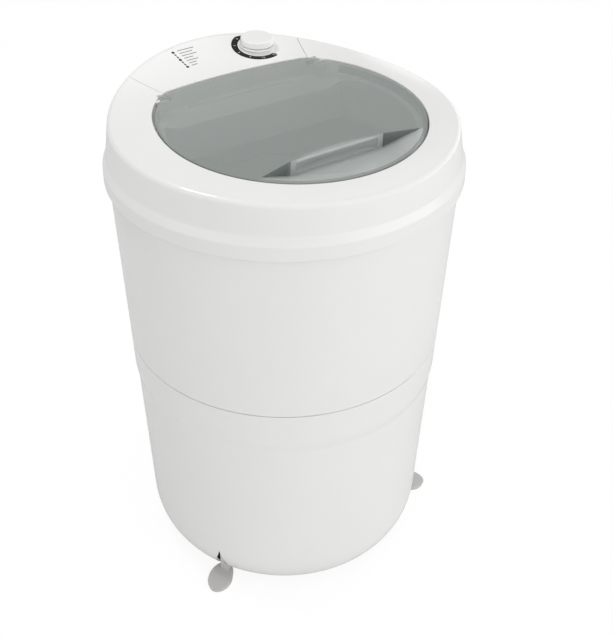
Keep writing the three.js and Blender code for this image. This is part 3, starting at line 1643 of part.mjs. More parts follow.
const timer = framed(timerFrame);
add(timer, 'knob_bezel', knobBezel(), whitePlastic());
add(timer, 'timer_knob', timerKnob(), whitePlastic());
add(timer, 'timer_shaft', timerShaft(), brass());
add(timer, 'timer_body', timerBody(), blackPlastic());
add(timer, 'timer_nut', timerNut(), zincSteel());

add(framed(lidFrame), 'lid', lid(), clearLid());
add(washer, 'lid_pin_right', lidPin(1), zincSteel());
add(washer, 'lid_pin_left', lidPin(-1), zincSteel());

add(washer, 'wash_tub', washTub(), softWhite());
add(washer, 'pulsator', pulsator(), whitePlastic());
add(washer, 'pulsator_bolt', pulsatorBolt(), zincSteel());
add(washer, 'drive_shaft', driveShaft(), zincSteel());
add(washer, 'shaft_seal', shaftSeal(), rubber());
add(washer, 'bearing_housing', bearingHousing(), castAluminium());
add(washer, 'upper_bush', upperBush(), brass());
add(washer, 'lower_bush', lowerBush(), brass());
add(washer, 'thrust_washer', thrustWasher(), brass());
add(washer, 'driven_pulley', drivenPulley(), castAluminium());
add(washer, 'pulley_nut', pulleyNut(), zincSteel());
add(washer, 'drive_belt', driveBelt(), rubber());

const motor = new THREE.Group();
motor.position.y = beltCentres;
washer.add(motor);
add(motor, 'motor_pulley', motorPulley(), castAluminium());
add(motor, 'motor_shaft', motorShaft(), zincSteel());
add(motor, 'motor_rotor', rotor(), darkSteel());
add(motor, 'motor_fan', fan(), blackPlastic());
add(motor, 'motor_stator', stator(), darkSteel());
add(motor, 'motor_windings', windings(), copper());
add(motor, 'motor_upper_frame', upperFrame(), castAluminium());
add(motor, 'motor_lower_frame', lowerFrame(), castAluminium());
addEach(motor, 'motor_screw', motorScrews(), zincSteel);

const capacitorPlace = new THREE.Group();
capacitorPlace.rotation.z = capacitorAngle * degree;
capacitorPlace.position.set(...polar(capacitorCircle, capacitorAngle), 0);
washer.add(capacitorPlace);
add(capacitorPlace, 'capacitor', capacitor(), castAluminium());
add(capacitorPlace, 'capacitor_clamp', capacitorClamp(), zincSteel());
add(capacitorPlace, 'capacitor_clamp_screw', clampScrew(), zincSteel());

const drain = new THREE.Group();
drain.rotation.z = drainAngle * degree;
drain.position.set(...polar(drainCircle, drainAngle), 0);
washer.add(drain);
add(drain, 'drain_strainer', drainStrainer(), greyPlastic());
add(drain, 'drain_outlet', drainOutlet(), greyPlastic());
add(washer, 'drain_hose', drainHose(), rubber());
add(washer, 'drain_spigot', drainSpigot(), greyPlastic());
add(washer, 'cable_gland', cableGland(), blackPlastic());

export default washer;
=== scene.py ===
# A round top-loading tub washer: white plastic shells, a slanted top cover with a smoky lid, and
# a timer knob behind the lid. Lengths here are in millimetres until a mesh is made.

import json
import math

import bmesh
import bpy
from mathutils import Matrix, Vector


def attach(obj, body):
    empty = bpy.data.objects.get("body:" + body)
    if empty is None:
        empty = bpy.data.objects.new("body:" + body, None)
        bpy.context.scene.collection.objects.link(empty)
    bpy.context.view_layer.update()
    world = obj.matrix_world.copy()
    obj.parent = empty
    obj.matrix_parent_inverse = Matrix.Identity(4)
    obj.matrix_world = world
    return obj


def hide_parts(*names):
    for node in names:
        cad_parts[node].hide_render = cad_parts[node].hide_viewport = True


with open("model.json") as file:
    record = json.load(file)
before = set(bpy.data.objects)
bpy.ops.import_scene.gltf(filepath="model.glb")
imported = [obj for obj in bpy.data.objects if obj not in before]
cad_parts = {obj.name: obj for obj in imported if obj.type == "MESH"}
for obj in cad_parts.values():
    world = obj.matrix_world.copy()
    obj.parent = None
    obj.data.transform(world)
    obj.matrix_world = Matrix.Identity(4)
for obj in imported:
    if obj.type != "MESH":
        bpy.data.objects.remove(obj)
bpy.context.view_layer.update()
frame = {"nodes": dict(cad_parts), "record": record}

# Dimensions, most of which the solids share

MM = 0.001
FIT = 0.3
WALL = 3
SEAM_RADIUS = 231.4
TOP_FLARE = 6.6
STEP_RISE = 1.2
STEP_DEPTH = 4.2
LOWER_TAPER = 10.9
BASE_CORNER_WIDTH = 26.5
BASE_CORNER_HEIGHT = 52
BASE_HEIGHT = 20
FLOOR_THICKNESS = 4
FLOOR_OPENING_RADIUS = 140
LOWER_SHELL_HEIGHT = 365.5
STEP_BELOW_SEAM = 53.5
STEP_HEIGHT = 14
SEAM_GAP = 1
UPPER_SHELL_HEIGHT = 271.5
UPPER_FLANGE_WIDTH = 20
JOIN_LIP_HEIGHT = 12.5
JOIN_LIP_ROOT = 6
FOOT_ANGLES = {"foot_front_left": -150, "foot_front_right": -30, "foot_rear": 90}
FOOT_REACH = 25
PAD_LENGTH = 50
PAD_WIDTH = 37
PAD_SLOPE = 10
PAD_TOP_HEIGHT = 12
PAD_TOE_LIFT = 7
PAD_SOLE_SHARE = 0.92
PAD_LIFT_SHARE = 0.5
NOTCH_APEX = 72
NOTCH_SHOULDER = 42
NOTCH_HALF_WIDTH = 9
NOTCH_CUT_BOTTOM = -2
WEDGE_GAP = 1.5
WEDGE_APEX_DROP = 3
WEDGE_TOP_RECESS = 2.5
WEDGE_FOOT_INSET = 13.5
WEDGE_BOTTOM = 9
TONGUE_LENGTH = 34
TONGUE_END_INSET = 4
TONGUE_WIDTH = 28
TONGUE_THICKNESS = 6
LIP_OUT = 6.5
LIP_GAP = 3.3
LIP_DROP = 19.1
SHOULDER_INSET = 0.5
SHOULDER_HEIGHT = 0.4
CHAMFER_INSET = 5.5
CHAMFER_HEIGHT = 12.4
WALL_TOP_INSET = 11.5
RIM_INSET = 18.5
RIM_FILLET = 7
RIM_RISE = 54.9
RIM_SLOPE = 4.5
RIM_SWEEP = 12.3
RIM_LIFT = 14.4
LID_RISE = 62.7
LID_TILT = 1.89
DECK_CROWN_SHARE = 0.4
DECK_THICKNESS = 3
PANEL_DECK_THICKNESS = 6
SEAT_WIDTH = 3.5
DECK_FRONT_WIDTH = 29
DECK_SIDE_WIDTH = 47
PANEL_DEPTH = 95
OPEN_CORNER_HALF = 119
HINGE_EDGE_BOW = 760
SEAM_ANGLE = 52.3
LEDGE_DROP = 14
SHELF_DROP = 28
SHELF_RAMP_FRONT = 40
SHELF_RAMP_BACK = 90
LEDGE_WIDTH = 13
LEDGE_FALL = 1
SHELF_DEPTH = 63
THROAT_DEPTH = 13.6
CORNER_SPOKE = 24
THROAT_CORNER_SPOKE = 20
HALF_SPOKES = 30
LID_THICKNESS = 3
LID_EDGE = 0.9
LID_GAP = 2
LID_CORNER_GAP = 7
LID_REAR_GAP = 2.3
SKIRT_THICKNESS = 2.5
SKIRT_INSET = 1
SKIRT_BACK = 80
HINGE_BACK = 111
HINGE_DROP = 4.2
PIN_RADIUS = 2
PIN_SLACK = 0.3
PIN_START = 113
PIN_END = 133
EAR_INNER = 111.5
EAR_WIDTH = 9
EAR_RADIUS = 4.1
HINGE_BOSS_INSET = 1.5
HINGE_BOSS_WIDTH = 20
HINGE_BOSS_LENGTH = 16
HINGE_BOSS_DEPTH = 9
HINGE_BOSS_COVER = 1.6
RELIEF_INSET = 4
RELIEF_HALF = 128.8
RELIEF_LENGTH = 7
RELIEF_DEPTH = 6
SCOOP_TIP_HALF = 121
SCOOP_TIP_FRONT = 137
SCOOP_STEP_HALF = 70
SCOOP_STEP_FRONT = 123
SCOOP_DEPTH = 20
SCOOP_RIM_WIDTH = 5
SCOOP_WALL = 2.5
SCOOP_CUT_TOP = 6
POCKET_HALF = 62
POCKET_DEPTH = 12
POCKET_TOP_DROP = 4
POCKET_BOTTOM_DROP = 18
PANEL_THICKNESS = 2.5
PANEL_SEAM = 0.5
PANEL_SEAT_GAP = 0.6
PANEL_RIM_INSET = 1.5
WINDOW_INSET = 14
WINDOW_END_SPOKES = 0.7
WINDOW_CUT_DEPTH = 14
WINDOW_CUT_RISE = 4
GROOVE_HALF = 78
GROOVE_BACK = 112
GROOVE_RADIUS = 7
GROOVE_DEPTH = 2.2
GROOVE_CUT_RISE = 3
KNOB_ACROSS = 66.7
KNOB_BACK = 178.8
KNOB_LEAN = 4
KNOB_PAD_LIFT = 2
KNOB_PAD_SINK = 1.5
BEZEL_RADIUS = 26.2
BEZEL_BAND_HEIGHT = 1.5
BEZEL_TOP_RADIUS = 25.8
BEZEL_HEIGHT = 2.7
BEZEL_HOLE_RADIUS = 9.5
KNOB_GAP = 0.6
KNOB_RADIUS = 24.8
KNOB_SKIRT_HEIGHT = 1.5
KNOB_SKIRT_RISE = 3
KNOB_GRIP_RADIUS = 24.2
KNOB_TOP_RADIUS = 23.8
KNOB_HEIGHT = 9.8
KNOB_CROWN = 1.2
KNOB_CROWN_INSET = 1.4
KNOB_UNDERCUT = 2.5
KNOB_UNDERCUT_HEIGHT = 0.7
TIMER_SHAFT_RADIUS = 3
TIMER_SHAFT_HEIGHT = 11
TIMER_HOLE_RADIUS = 5.3
TIMER_HOLE_BOTTOM = -12
TIMER_HOLE_TOP = 4
PAD_TRIM_HEIGHT = 6
TIMER_SEAT_RADIUS = 16
TIMER_SEAT_BOTTOM = -8
TUB_SIDE_GAP = 32
TUB_TAPER = 12
TUB_CORNER_RADIUS = 28
TUB_FLOOR_THICKNESS = 4
TUB_FLANGE_THICKNESS = 3
TUB_FLANGE_INSET = 1.5
TUB_BOSS_RADIUS = 45
TUB_BOSS_BOTTOM = 228.7
TUB_FLOOR_TOP = 236.7
TUB_SEAL_RADIUS = 16
PULSATOR_RADIUS = 125
PULSATOR_LIFT = 6
VANE_COUNT = 6
TUB_DRAIN_RADIUS = 12.3
TUB_DRAIN_OUT = 138
TUB_DRAIN_BOTTOM = 200
TUB_DRAIN_TOP = 260
POST_RADIUS = 8
POST_BOTTOM = 147
POST_MIDDLE = 135
POST_ACROSS = 75
POST_HALF_DEPTH = 27.5
SPIGOT_ANGLE = 20
SPIGOT_HEIGHT = 110
GLAND_ANGLE = 60
GLAND_HEIGHT = 90
PORT_BOSS_PROUD = 3
PORT_BOSS_INNER = 7.5
PORT_CUT_IN = 40
PORT_CUT_OUT = 20
DRAIN_BOSS_RADIUS = 22
DRAIN_BORE_RADIUS = 13.3
GLAND_BOSS_RADIUS = 13
GLAND_BORE_RADIUS = 7.3

# Dimensions that follow from those

FLOOR_TOP = BASE_HEIGHT + FLOOR_THICKNESS
SEAM_BOTTOM = BASE_HEIGHT + LOWER_SHELL_HEIGHT
SEAM_TOP = SEAM_BOTTOM + SEAM_GAP
JOIN_LIP_TOP = SEAM_BOTTOM + JOIN_LIP_HEIGHT
UPPER_FLANGE_TOP = SEAM_TOP + UPPER_SHELL_HEIGHT
TUB_FLANGE_BOTTOM = UPPER_FLANGE_TOP + FIT
TUB_FLANGE_TOP = TUB_FLANGE_BOTTOM + TUB_FLANGE_THICKNESS
COVER_SEAT = TUB_FLANGE_TOP + FIT
LIP_BOTTOM = COVER_SEAT - LIP_DROP
SHOULDER_TOP = COVER_SEAT + SHOULDER_HEIGHT
CHAMFER_TOP = COVER_SEAT + CHAMFER_HEIGHT
LID_PLANE = COVER_SEAT + LID_RISE
TOP_RADIUS = SEAM_RADIUS + TOP_FLARE
STEP_TOP_RADIUS = SEAM_RADIUS - STEP_RISE
STEP_BOTTOM_RADIUS = SEAM_RADIUS - STEP_DEPTH
BOTTOM_RADIUS = SEAM_RADIUS - LOWER_TAPER
BASE_FLAT_RADIUS = BOTTOM_RADIUS - BASE_CORNER_WIDTH
JOIN_LIP_RADIUS = SEAM_RADIUS - WALL - FIT
JOIN_LIP_INNER = JOIN_LIP_RADIUS - WALL
LIP_RADIUS = TOP_RADIUS + LIP_OUT
LIP_INNER = TOP_RADIUS + LIP_GAP
RIM_RADIUS = LIP_RADIUS - RIM_INSET
TUB_TOP_RADIUS = TOP_RADIUS - WALL - TUB_SIDE_GAP
TUB_BOTTOM_RADIUS = TUB_TOP_RADIUS - TUB_TAPER
TUB_FLANGE_RADIUS = TOP_RADIUS - TUB_FLANGE_INSET
SEAT_INNER = TUB_FLANGE_RADIUS - SEAT_WIDTH
OPEN_RADIUS = RIM_RADIUS - DECK_SIDE_WIDTH
OPEN_BACK = DECK_SIDE_WIDTH - DECK_FRONT_WIDTH
HINGE_EDGE_BACK = RIM_RADIUS - PANEL_DEPTH
THROAT_RADIUS = OPEN_RADIUS - LEDGE_WIDTH
THROAT_CHORD = HINGE_EDGE_BACK - SHELF_DEPTH
KNOB_PAD_RADIUS = BEZEL_RADIUS + FIT
ALL_SPOKES = 2 * HALF_SPOKES
LEFT_CORNER_SPOKE = ALL_SPOKES - CORNER_SPOKE

# How finely the surfaces are drawn, and how far the corners reach in spokes

TURN_STEPS = 160
SPOKE_STEP = 0.25
CORNER_ROUND_SPOKES = 0.8
LID_ROUND_SPOKES = 0.7
EDGE_STEPS = 3
DECK_STEPS = 8
RIM_STEPS = 8
PANEL_ROWS = 12
PANEL_SEAM_SPOKES = 0.04
KNOB_STEPS = 96
BODY_STEPS = 192
PAD_STEPS = 64
TUB_STEPS = 128
SKIRT_STEPS = 120
SCOOP_STEPS = 48
POCKET_STEPS = 28
GROOVE_END_STEPS = 12


def lerp(a, b, share):
    return a + (b - a) * share


def spaced(first, last, count):
    return [lerp(first, last, step / count) for step in range(count + 1)]


def smooth(share):
    share = min(1, max(0, share))
    return share * share * (3 - 2 * share)


def at_angle(radius, angle, height=0):
    turn = math.radians(angle)
    return Vector((radius * math.cos(turn), radius * math.sin(turn), height))


def raised(flat, height):
    return Vector((flat.x, flat.y, height))


def lifted(height):
    return Matrix.Translation(Vector((0, 0, height * MM)))


def turn_about(axis, degrees):
    return Matrix.Rotation(math.radians(degrees), 4, axis)


def configure(thing, **settings):
    for name, value in settings.items():
        setattr(thing, name, value)
    return thing


def linked(name, data):
    made = bpy.data.objects.new(name, data)
    bpy.context.scene.collection.objects.link(made)
    return made


# Materials

def fill(tree, made, values):
    """Gives the sockets of a node plain values, or links them to the outputs of other nodes."""
    for socket, value in values.items():
        if isinstance(value, bpy.types.NodeSocket):
            tree.links.new(value, made.inputs[socket])
        else:
            made.inputs[socket].default_value = value


def new_node(tree, kind, values, **settings):
    made = configure(tree.nodes.new("ShaderNode" + kind), **settings)
    fill(tree, made, values)
    return made.outputs


def material(name):
    made = bpy.data.materials.new(name)
    made.use_nodes = True
    return made, made.node_tree, made.node_tree.nodes["Principled BSDF"]


def object_place(tree):
    return new_node(tree, "TexCoord", {})["Object"]


def noise(tree, where, scale, detail, roughness=0.5):
    values = {"Vector": where, "Scale": scale, "Detail": detail, "Roughness": roughness}
    return new_node(tree, "TexNoise", values)["Fac"]


def ramp(tree, value, low, high, dark, light):
    made = tree.nodes.new("ShaderNodeValToRGB")
    for element, position, color in zip(made.color_ramp.elements, (low, high), (dark, light)):
        element.position = position
        element.color = (*color, 1)
    tree.links.new(value, made.inputs["Fac"])
    return made.outputs["Color"]


def spread(tree, value, low, high, start=0, end=1, kind="LINEAR"):
    """Maps values between start and end to values between low and high."""
    values = {"Value": value, "From Min": start, "From Max": end, "To Min": low, "To Max": high}
    return new_node(tree, "MapRange", values, interpolation_type=kind)["Result"]


def bump(tree, height, distance, strength):
    values = {"Height": height, "Distance": distance, "Strength": strength}
    return new_node(tree, "Bump", values)["Normal"]


def maths(tree, operation, first, second):
    return new_node(tree, "Math", {0: first, 1: second}, operation=operation)["Value"]


def mixed(tree, share, first, second):
    return new_node(tree, "MixShader", {0: share, 1: first, 2: second})["Shader"]


def shade(color, factor):
    return tuple(min(1, part * factor) for part in color)


def mould(name, color, vary, roughness, grain_scale, grain_depth, coat=0.0):
    """Moulded plastic or rubber: slow colour change, patches of sheen and a fine surface grain."""
    made, tree, shader = material(name)
    where = object_place(tree)
    slow = noise(tree, where, 7, 3)
    patch = noise(tree, where, 38, 4)
    grain = noise(tree, where, grain_scale, 2)
    fill(tree, shader, {
        "Base Color": ramp(tree, slow, 0.3, 0.7, shade(color, 1 - vary), shade(color, 1 + vary)),
        "Roughness": spread(tree, patch, roughness * 0.8, roughness * 1.2),
        "Normal": bump(tree, grain, grain_depth, 0.5),
        "Specular IOR Level": 0.32,
        "Coat Weight": coat,
        "Coat Roughness": 0.07,
    })
    return made


def metal(name, color, roughness, grain_scale, grain_depth, stretch):
    """Metal with drawn, turned or cast grain: stretch is how much finer it is along Z."""
    made, tree, shader = material(name)
    mapping = new_node(tree, "Mapping", {"Vector": object_place(tree), "Scale": (1, 1, stretch)})
    grain = noise(tree, mapping["Vector"], grain_scale, 4, 0.6)
    fill(tree, shader, {
        "Base Color": ramp(tree, grain, 0.3, 0.7, shade(color, 0.82), color),
        "Roughness": spread(tree, grain, roughness * 0.75, roughness * 1.3),
        "Normal": bump(tree, grain, grain_depth, 0.4),
        "Metallic": 1,
    })
    return made


def smoky(name, color, alpha):
    """Clear plastic with a grey tint, lightly marked by handling."""
    made, tree, shader = material(name)
    where = object_place(tree)
    slow = noise(tree, where, 5, 2)
    marks = noise(tree, where, 60, 5, 0.7)
    fill(tree, shader, {
        "Base Color": ramp(tree, slow, 0, 1, shade(color, 0.97), shade(color, 1.03)),
        "Roughness": spread(tree, marks, 0.06, 0.16),
        "Alpha": alpha,
        "IOR": 1.49,
    })
    return made


def wound(name, color, pitch):
    """Wire or sheets laid side by side, seen as fine bands along Z."""
    made, tree, shader = material(name)
    values = {"Vector": object_place(tree), "Scale": 1 / pitch / math.tau, "Distortion": 0.4}
    wave = new_node(tree, "TexWave", values, bands_direction="Z")["Fac"]
    fill(tree, shader, {
        "Base Color": ramp(tree, wave, 0.1, 0.6, shade(color, 0.55), color),
        "Normal": bump(tree, wave, 0.0004, 0.6),
        "Metallic": 0.7,
        "Roughness": 0.4,
    })
    return made


WHITE = mould("white_gloss_plastic", (0.85, 0.85, 0.84), 0.01, 0.34, 900, 0.00004, 0.6)
SOFT_WHITE = mould("soft_white_plastic", (0.78, 0.78, 0.765), 0.02, 0.5, 700, 0.00006)
GREY = mould("grey_foot_plastic", (0.6, 0.585, 0.575), 0.04, 0.5, 620, 0.00012)
BLACK = mould("black_plastic", (0.03, 0.03, 0.033), 0.15, 0.55, 620, 0.0001)
PRINT_BLACK = mould("black_print", (0.006, 0.006, 0.007), 0.1, 0.6, 900, 0.00003)
PRINT_GREY = mould("grey_print", (0.22, 0.22, 0.225), 0.1, 0.45, 900, 0.00003)
PRINT_WHITE = mould("white_print", (0.72, 0.72, 0.71), 0.02, 0.45, 900, 0.00003)
RUBBER = mould("rubber", (0.022, 0.022, 0.024), 0.2, 0.8, 420, 0.0002)
SMOKY = smoky("smoky_clear_plastic", (0.41, 0.45, 0.43), 0.48)
# Painted light: the scoop's lighter colour stands in for light its shaded hollow does not get; its clearer
# alpha is the thinner wall
SMOKY_THIN_PAINTED_LIGHT = smoky("thin_smoky_clear_plastic_painted_light", (0.8, 0.845, 0.83), 0.38)
# Painted shade: the darker colour of the scoop's step ends stands in for shade seen through them; their
# lower alpha is the doubled wall
SMOKY_THICK_PAINTED_SHADE = smoky("thick_smoky_clear_plastic_painted_shade", (0.2, 0.228, 0.216), 0.62)
ZINC = metal("zinc_plated_steel", (0.62, 0.64, 0.66), 0.3, 260, 0.00003, 5)
DARK_STEEL = wound("stacked_steel_sheets", (0.2, 0.21, 0.23), 0.0012)
CAST = metal("cast_aluminium", (0.56, 0.58, 0.6), 0.5, 190, 0.00015, 1)
COPPER = wound("enamelled_copper_wire", (0.5, 0.17, 0.07), 0.0011)
BRASS = metal("turned_brass", (0.62, 0.43, 0.16), 0.28, 240, 0.00003, 7)


# Meshes

SAME_PLACE = 0.002
AXIS_RADIUS = 0.01
FILLET_SHARE = 0.45
PANEL_EDGE = 0.45
LID_SOFT_EDGE = 0.5
FOOT_EDGE = 0.9
PULSATOR_EDGE = 1


def rounded(first, corner, last, t):
    return first * (1 - t) ** 2 + corner * (2 * t * (1 - t)) + last * t ** 2


def fillet(points, radii, steps=EDGE_STEPS):
    """Rounds the corners of a closed chain of points, each by its own radius."""
    count = len(points)
    made = []
    for i, (point, radius) in enumerate(zip(points, radii)):
        before, after = points[i - 1] - point, points[(i + 1) % count] - point
        if radius <= 0:
            made.append(point.copy())
            continue
        reach = min(radius, before.length * FILLET_SHARE, after.length * FILLET_SHARE)
        first = point + before.normalized() * reach
        last = point + after.normalized() * reach
        made += [rounded(first, point, last, t) for t in spaced(0, 1, steps)]
    return made


def finish_mesh(name, mesh, look, sharp=30, weighted=True):
    made = linked(name, mesh)
    mesh.name = name
    mesh.materials.clear()
    mesh.materials.append(look)
    for face in mesh.polygons:
        face.use_smooth = True
    mesh.set_sharp_from_angle(angle=math.radians(sharp))
    if weighted:
        made.modifiers.new("even_normals", "WEIGHTED_NORMAL").keep_sharp = True
    return made


def raw_mesh(points, faces):
    mesh = bpy.data.meshes.new("shape")
    mesh.from_pydata([Vector(point) * MM for point in points], [], faces)
    shape = bmesh.new()
    shape.from_mesh(mesh)
    bmesh.ops.remove_doubles(shape, verts=shape.verts, dist=SAME_PLACE * MM)
    bmesh.ops.dissolve_degenerate(shape, edges=shape.edges, dist=SAME_PLACE * MM)
    bmesh.ops.recalc_face_normals(shape, faces=shape.faces)
    shape.to_mesh(mesh)
    shape.free()
    return mesh


def loops_mesh(loops, cap=False):
    """A surface through loops of points. It closes on itself, or it is capped at both ends."""
    count = len(loops[0])
    total = len(loops)
    faces = []
    for loop in range(total - 1 if cap else total):
        here = loop * count
        following = (loop + 1) % total * count
        for i in range(count):
            j = (i + 1) % count
            faces.append((here + i, here + j, following + j, following + i))
    if cap:
        faces.append(tuple(range(count)))
        faces.append(tuple((total - 1) * count + i for i in reversed(range(count))))
    return raw_mesh([point for loop in loops for point in loop], faces)


def turned(profile, steps=TURN_STEPS, frame_matrix=None):
    """A closed profile of (radius, height, corner radius) turned about Z."""
    chain = fillet([Vector((row[0], 0, row[1])) for row in profile], [row[2] for row in profile])
    loops = []
    for step in range(steps):
        turn = 2 * math.pi * step / steps
        loops.append([Vector((p.x * math.cos(turn), p.x * math.sin(turn), p.z)) for p in chain])
    mesh = loops_mesh(loops)
    if frame_matrix is not None:
        mesh.transform(frame_matrix)
    return mesh


def quarter(flat, middle, width, rise, steps):
    """A quarter round from straight down to straight out, as rows of a profile to turn."""
    turns = [(step / steps - 1) * math.pi / 2 for step in range(steps + 1)]
    return [(flat + width * math.cos(turn), middle + rise * math.sin(turn), 0) for turn in turns]


def from_height(height, rows):
    return [(radius, height + rise, corner) for radius, rise, corner in rows]


def hull_mesh(points):
    shape = bmesh.new()
    for point in points:
        shape.verts.new(Vector(point) * MM)
    bmesh.ops.convex_hull(shape, input=shape.verts)
    loose = [vert for vert in shape.verts if not vert.link_faces]
    bmesh.ops.delete(shape, geom=loose, context="VERTS")
    flat = math.radians(0.5)
    bmesh.ops.dissolve_limit(shape, angle_limit=flat, verts=shape.verts, edges=shape.edges)
    bmesh.ops.recalc_face_normals(shape, faces=shape.faces)
    mesh = bpy.data.meshes.new("shape")
    shape.to_mesh(mesh)
    shape.free()
    return mesh


def box_mesh(low, high):
    xs, ys, zs = zip(low, high)
    return hull_mesh([(x, y, z) for x in xs for y in ys for z in zs])


def rod_mesh(radius, start, end, steps=32):
    """A round rod along Z."""
    loops = [[at_angle(radius, 360 * i / steps, height) for i in range(steps)]
             for height in (start, end)]
    return loops_mesh(loops, cap=True)


def prism_mesh(outline, bottom, top):
    loops = [[raised(point, height) for point in outline] for height in (bottom, top)]
    return loops_mesh(loops, cap=True)


def moved(mesh, matrix):
    copy = mesh.copy()
    copy.transform(matrix)
    if matrix.determinant() < 0:
        copy.flip_normals()
    return copy


def carved(mesh, added, cut):
    """Adds some meshes to one and then cuts others out of it."""
    base = linked("carving", mesh)
    helpers = []
    for operation, tools in (("UNION", added), ("DIFFERENCE", cut)):
        for tool in tools:
            helper = linked("tool", tool)
            helpers.append(helper)
            change = base.modifiers.new("carve", "BOOLEAN")
            configure(change, operation=operation, solver="EXACT", object=helper)
    graph = bpy.context.evaluated_depsgraph_get()
    made = bpy.data.meshes.new_from_object(base.evaluated_get(graph))
    for helper in [base, *helpers]:
        bpy.data.objects.remove(helper)
    return made


def soften(made, width, angle=35, segments=2):
    """Rounds the sharp edges of a finished piece."""
    change = made.modifiers.new("edges", "BEVEL")
    configure(change, width=width * MM, segments=segments, limit_method="ANGLE",
              angle_limit=math.radians(angle))
    made.modifiers.move(len(made.modifiers) - 1, 0)


def place(made, body, *nodes, slot):
    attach(made, body)
    if nodes:
        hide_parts(*nodes)


def both_sides(mesh):
    return [mesh, moved(mesh, Matrix.Scale(-1, 4, Vector((1, 0, 0))))]


# The slanted top: its rim, its opening and the deck between them

def rim_height(y):
    share = y / RIM_RADIUS
    return COVER_SEAT + RIM_RISE + share * (RIM_SLOPE + share * (RIM_SWEEP + share * RIM_LIFT))


def lid_height(y):
    return LID_PLANE + y * math.tan(math.radians(LID_TILT))


def hinge_edge(x):
    return HINGE_EDGE_BACK - HINGE_EDGE_BOW + math.sqrt(HINGE_EDGE_BOW ** 2 - x ** 2)


def sharp_opening(index, radius, corner_half, back_inset):
    corner_back = hinge_edge(corner_half) - back_inset
    if index > CORNER_SPOKE:
        x = corner_half * (HALF_SPOKES - index) / (HALF_SPOKES - CORNER_SPOKE)
        return Vector((x, hinge_edge(x) - back_inset))
    corner_angle = math.atan2(corner_back + OPEN_BACK, corner_half)
    swell = math.hypot(corner_half, corner_back + OPEN_BACK) - radius
    angle = lerp(-math.pi / 2, corner_angle, index / CORNER_SPOKE)
    reach = radius + swell * smooth(angle / corner_angle)
    return Vector((reach * math.cos(angle), reach * math.sin(angle) - OPEN_BACK))


def rounded_opening(index, radius, corner_half, back_inset, spokes):
    first, last = CORNER_SPOKE - spokes, CORNER_SPOKE + spokes
    if not first < index < last:
        return sharp_opening(index, radius, corner_half, back_inset)
    ends = [sharp_opening(i, radius, corner_half, back_inset) for i in (first, CORNER_SPOKE, last)]
    return rounded(*ends, (index - first) / (last - first))


def two_sided(index, point_of):
    """Index runs from the front round by the right to the back, and on round by the left."""
    if index <= HALF_SPOKES:
        return point_of(index)
    point = point_of(ALL_SPOKES - index)
    return Vector((-point.x, point.y))


def rim_at(index):
    def point_of(i):
        if i > CORNER_SPOKE:
            angle = lerp(SEAM_ANGLE, 90, (i - CORNER_SPOKE) / (HALF_SPOKES - CORNER_SPOKE))
        else:
            angle = lerp(-90, SEAM_ANGLE, i / CORNER_SPOKE)
        return at_angle(RIM_RADIUS, angle).to_2d()
    return two_sided(index, point_of)


def open_at(index):
    return two_sided(index, lambda i: rounded_opening(
        i, OPEN_RADIUS, OPEN_CORNER_HALF, 0, CORNER_ROUND_SPOKES))


def lid_edge_at(index, inset=0):
    return two_sided(index, lambda i: rounded_opening(
        i, OPEN_RADIUS - LID_GAP - inset, OPEN_CORNER_HALF - LID_CORNER_GAP - inset,
        LID_REAR_GAP + inset, LID_ROUND_SPOKES))


def throat_at(index):
    corner_angle = math.asin((THROAT_CHORD + OPEN_BACK) / THROAT_RADIUS)
    corner_half = THROAT_RADIUS * math.cos(corner_angle)

    def point_of(i):
        if i > THROAT_CORNER_SPOKE:
            x = corner_half * (HALF_SPOKES - i) / (HALF_SPOKES - THROAT_CORNER_SPOKE)
            return Vector((x, THROAT_CHORD))
        angle = lerp(-math.pi / 2, corner_angle, i / THROAT_CORNER_SPOKE)
        return Vector((THROAT_RADIUS * math.cos(angle), THROAT_RADIUS * math.sin(angle) - OPEN_BACK))
    return two_sided(index, point_of)


def deck_point(index, share, drop):
    rim, opening = rim_at(index), open_at(index)
    rim_z = rim_height(rim.y)
    fall = (lid_height(opening.y) - rim_z) * share * (1 + DECK_CROWN_SHARE - DECK_CROWN_SHARE * share)
    flat = rim.lerp(opening, share)
    return raised(flat, rim_z + fall - drop)


# Rough sizes that guide the search for a place on the panel
PANEL_SPOKE_WIDTH = 24
PANEL_SEARCH_ACROSS = 45
PANEL_SEARCH_BACK = 180
PANEL_SEARCHES = 60


def panel_point(x, y, lift=0.0):
    """The place on the panel's surface over a place in the plan."""
    index, share = HALF_SPOKES - x / PANEL_SPOKE_WIDTH, 0.5
    for _ in range(PANEL_SEARCHES):
        point = deck_point(index, share, 0)
        index -= (x - point.x) / PANEL_SEARCH_ACROSS
        share -= (y - point.y) / PANEL_SEARCH_BACK
    return deck_point(index, share, 0) + Vector((0, 0, lift))


def panel_frame(x, y):
    here = panel_point(x, y)
    right = panel_point(x + 1, y) - panel_point(x - 1, y)
    back = panel_point(x, y + 1) - panel_point(x, y - 1)
    up = right.cross(back).normalized()
    turn = Vector((0, 0, 1)).rotation_difference(up).to_matrix().to_4x4()
    return Matrix.Translation(here * MM) @ turn


KNOB_PLACE = panel_frame(KNOB_ACROSS, KNOB_BACK)
TIMER = Matrix.Translation(KNOB_PLACE @ Vector((0, 0, KNOB_PAD_LIFT * MM)))
TIMER = TIMER @ turn_about("X", KNOB_LEAN)
LID = lifted(LID_PLANE) @ turn_about("X", LID_TILT)
HINGE = LID @ (Vector((0, HINGE_BACK, -HINGE_DROP)) * MM)
HINGE_Y, HINGE_Z = HINGE.y / MM, HINGE.z / MM


# Top cover

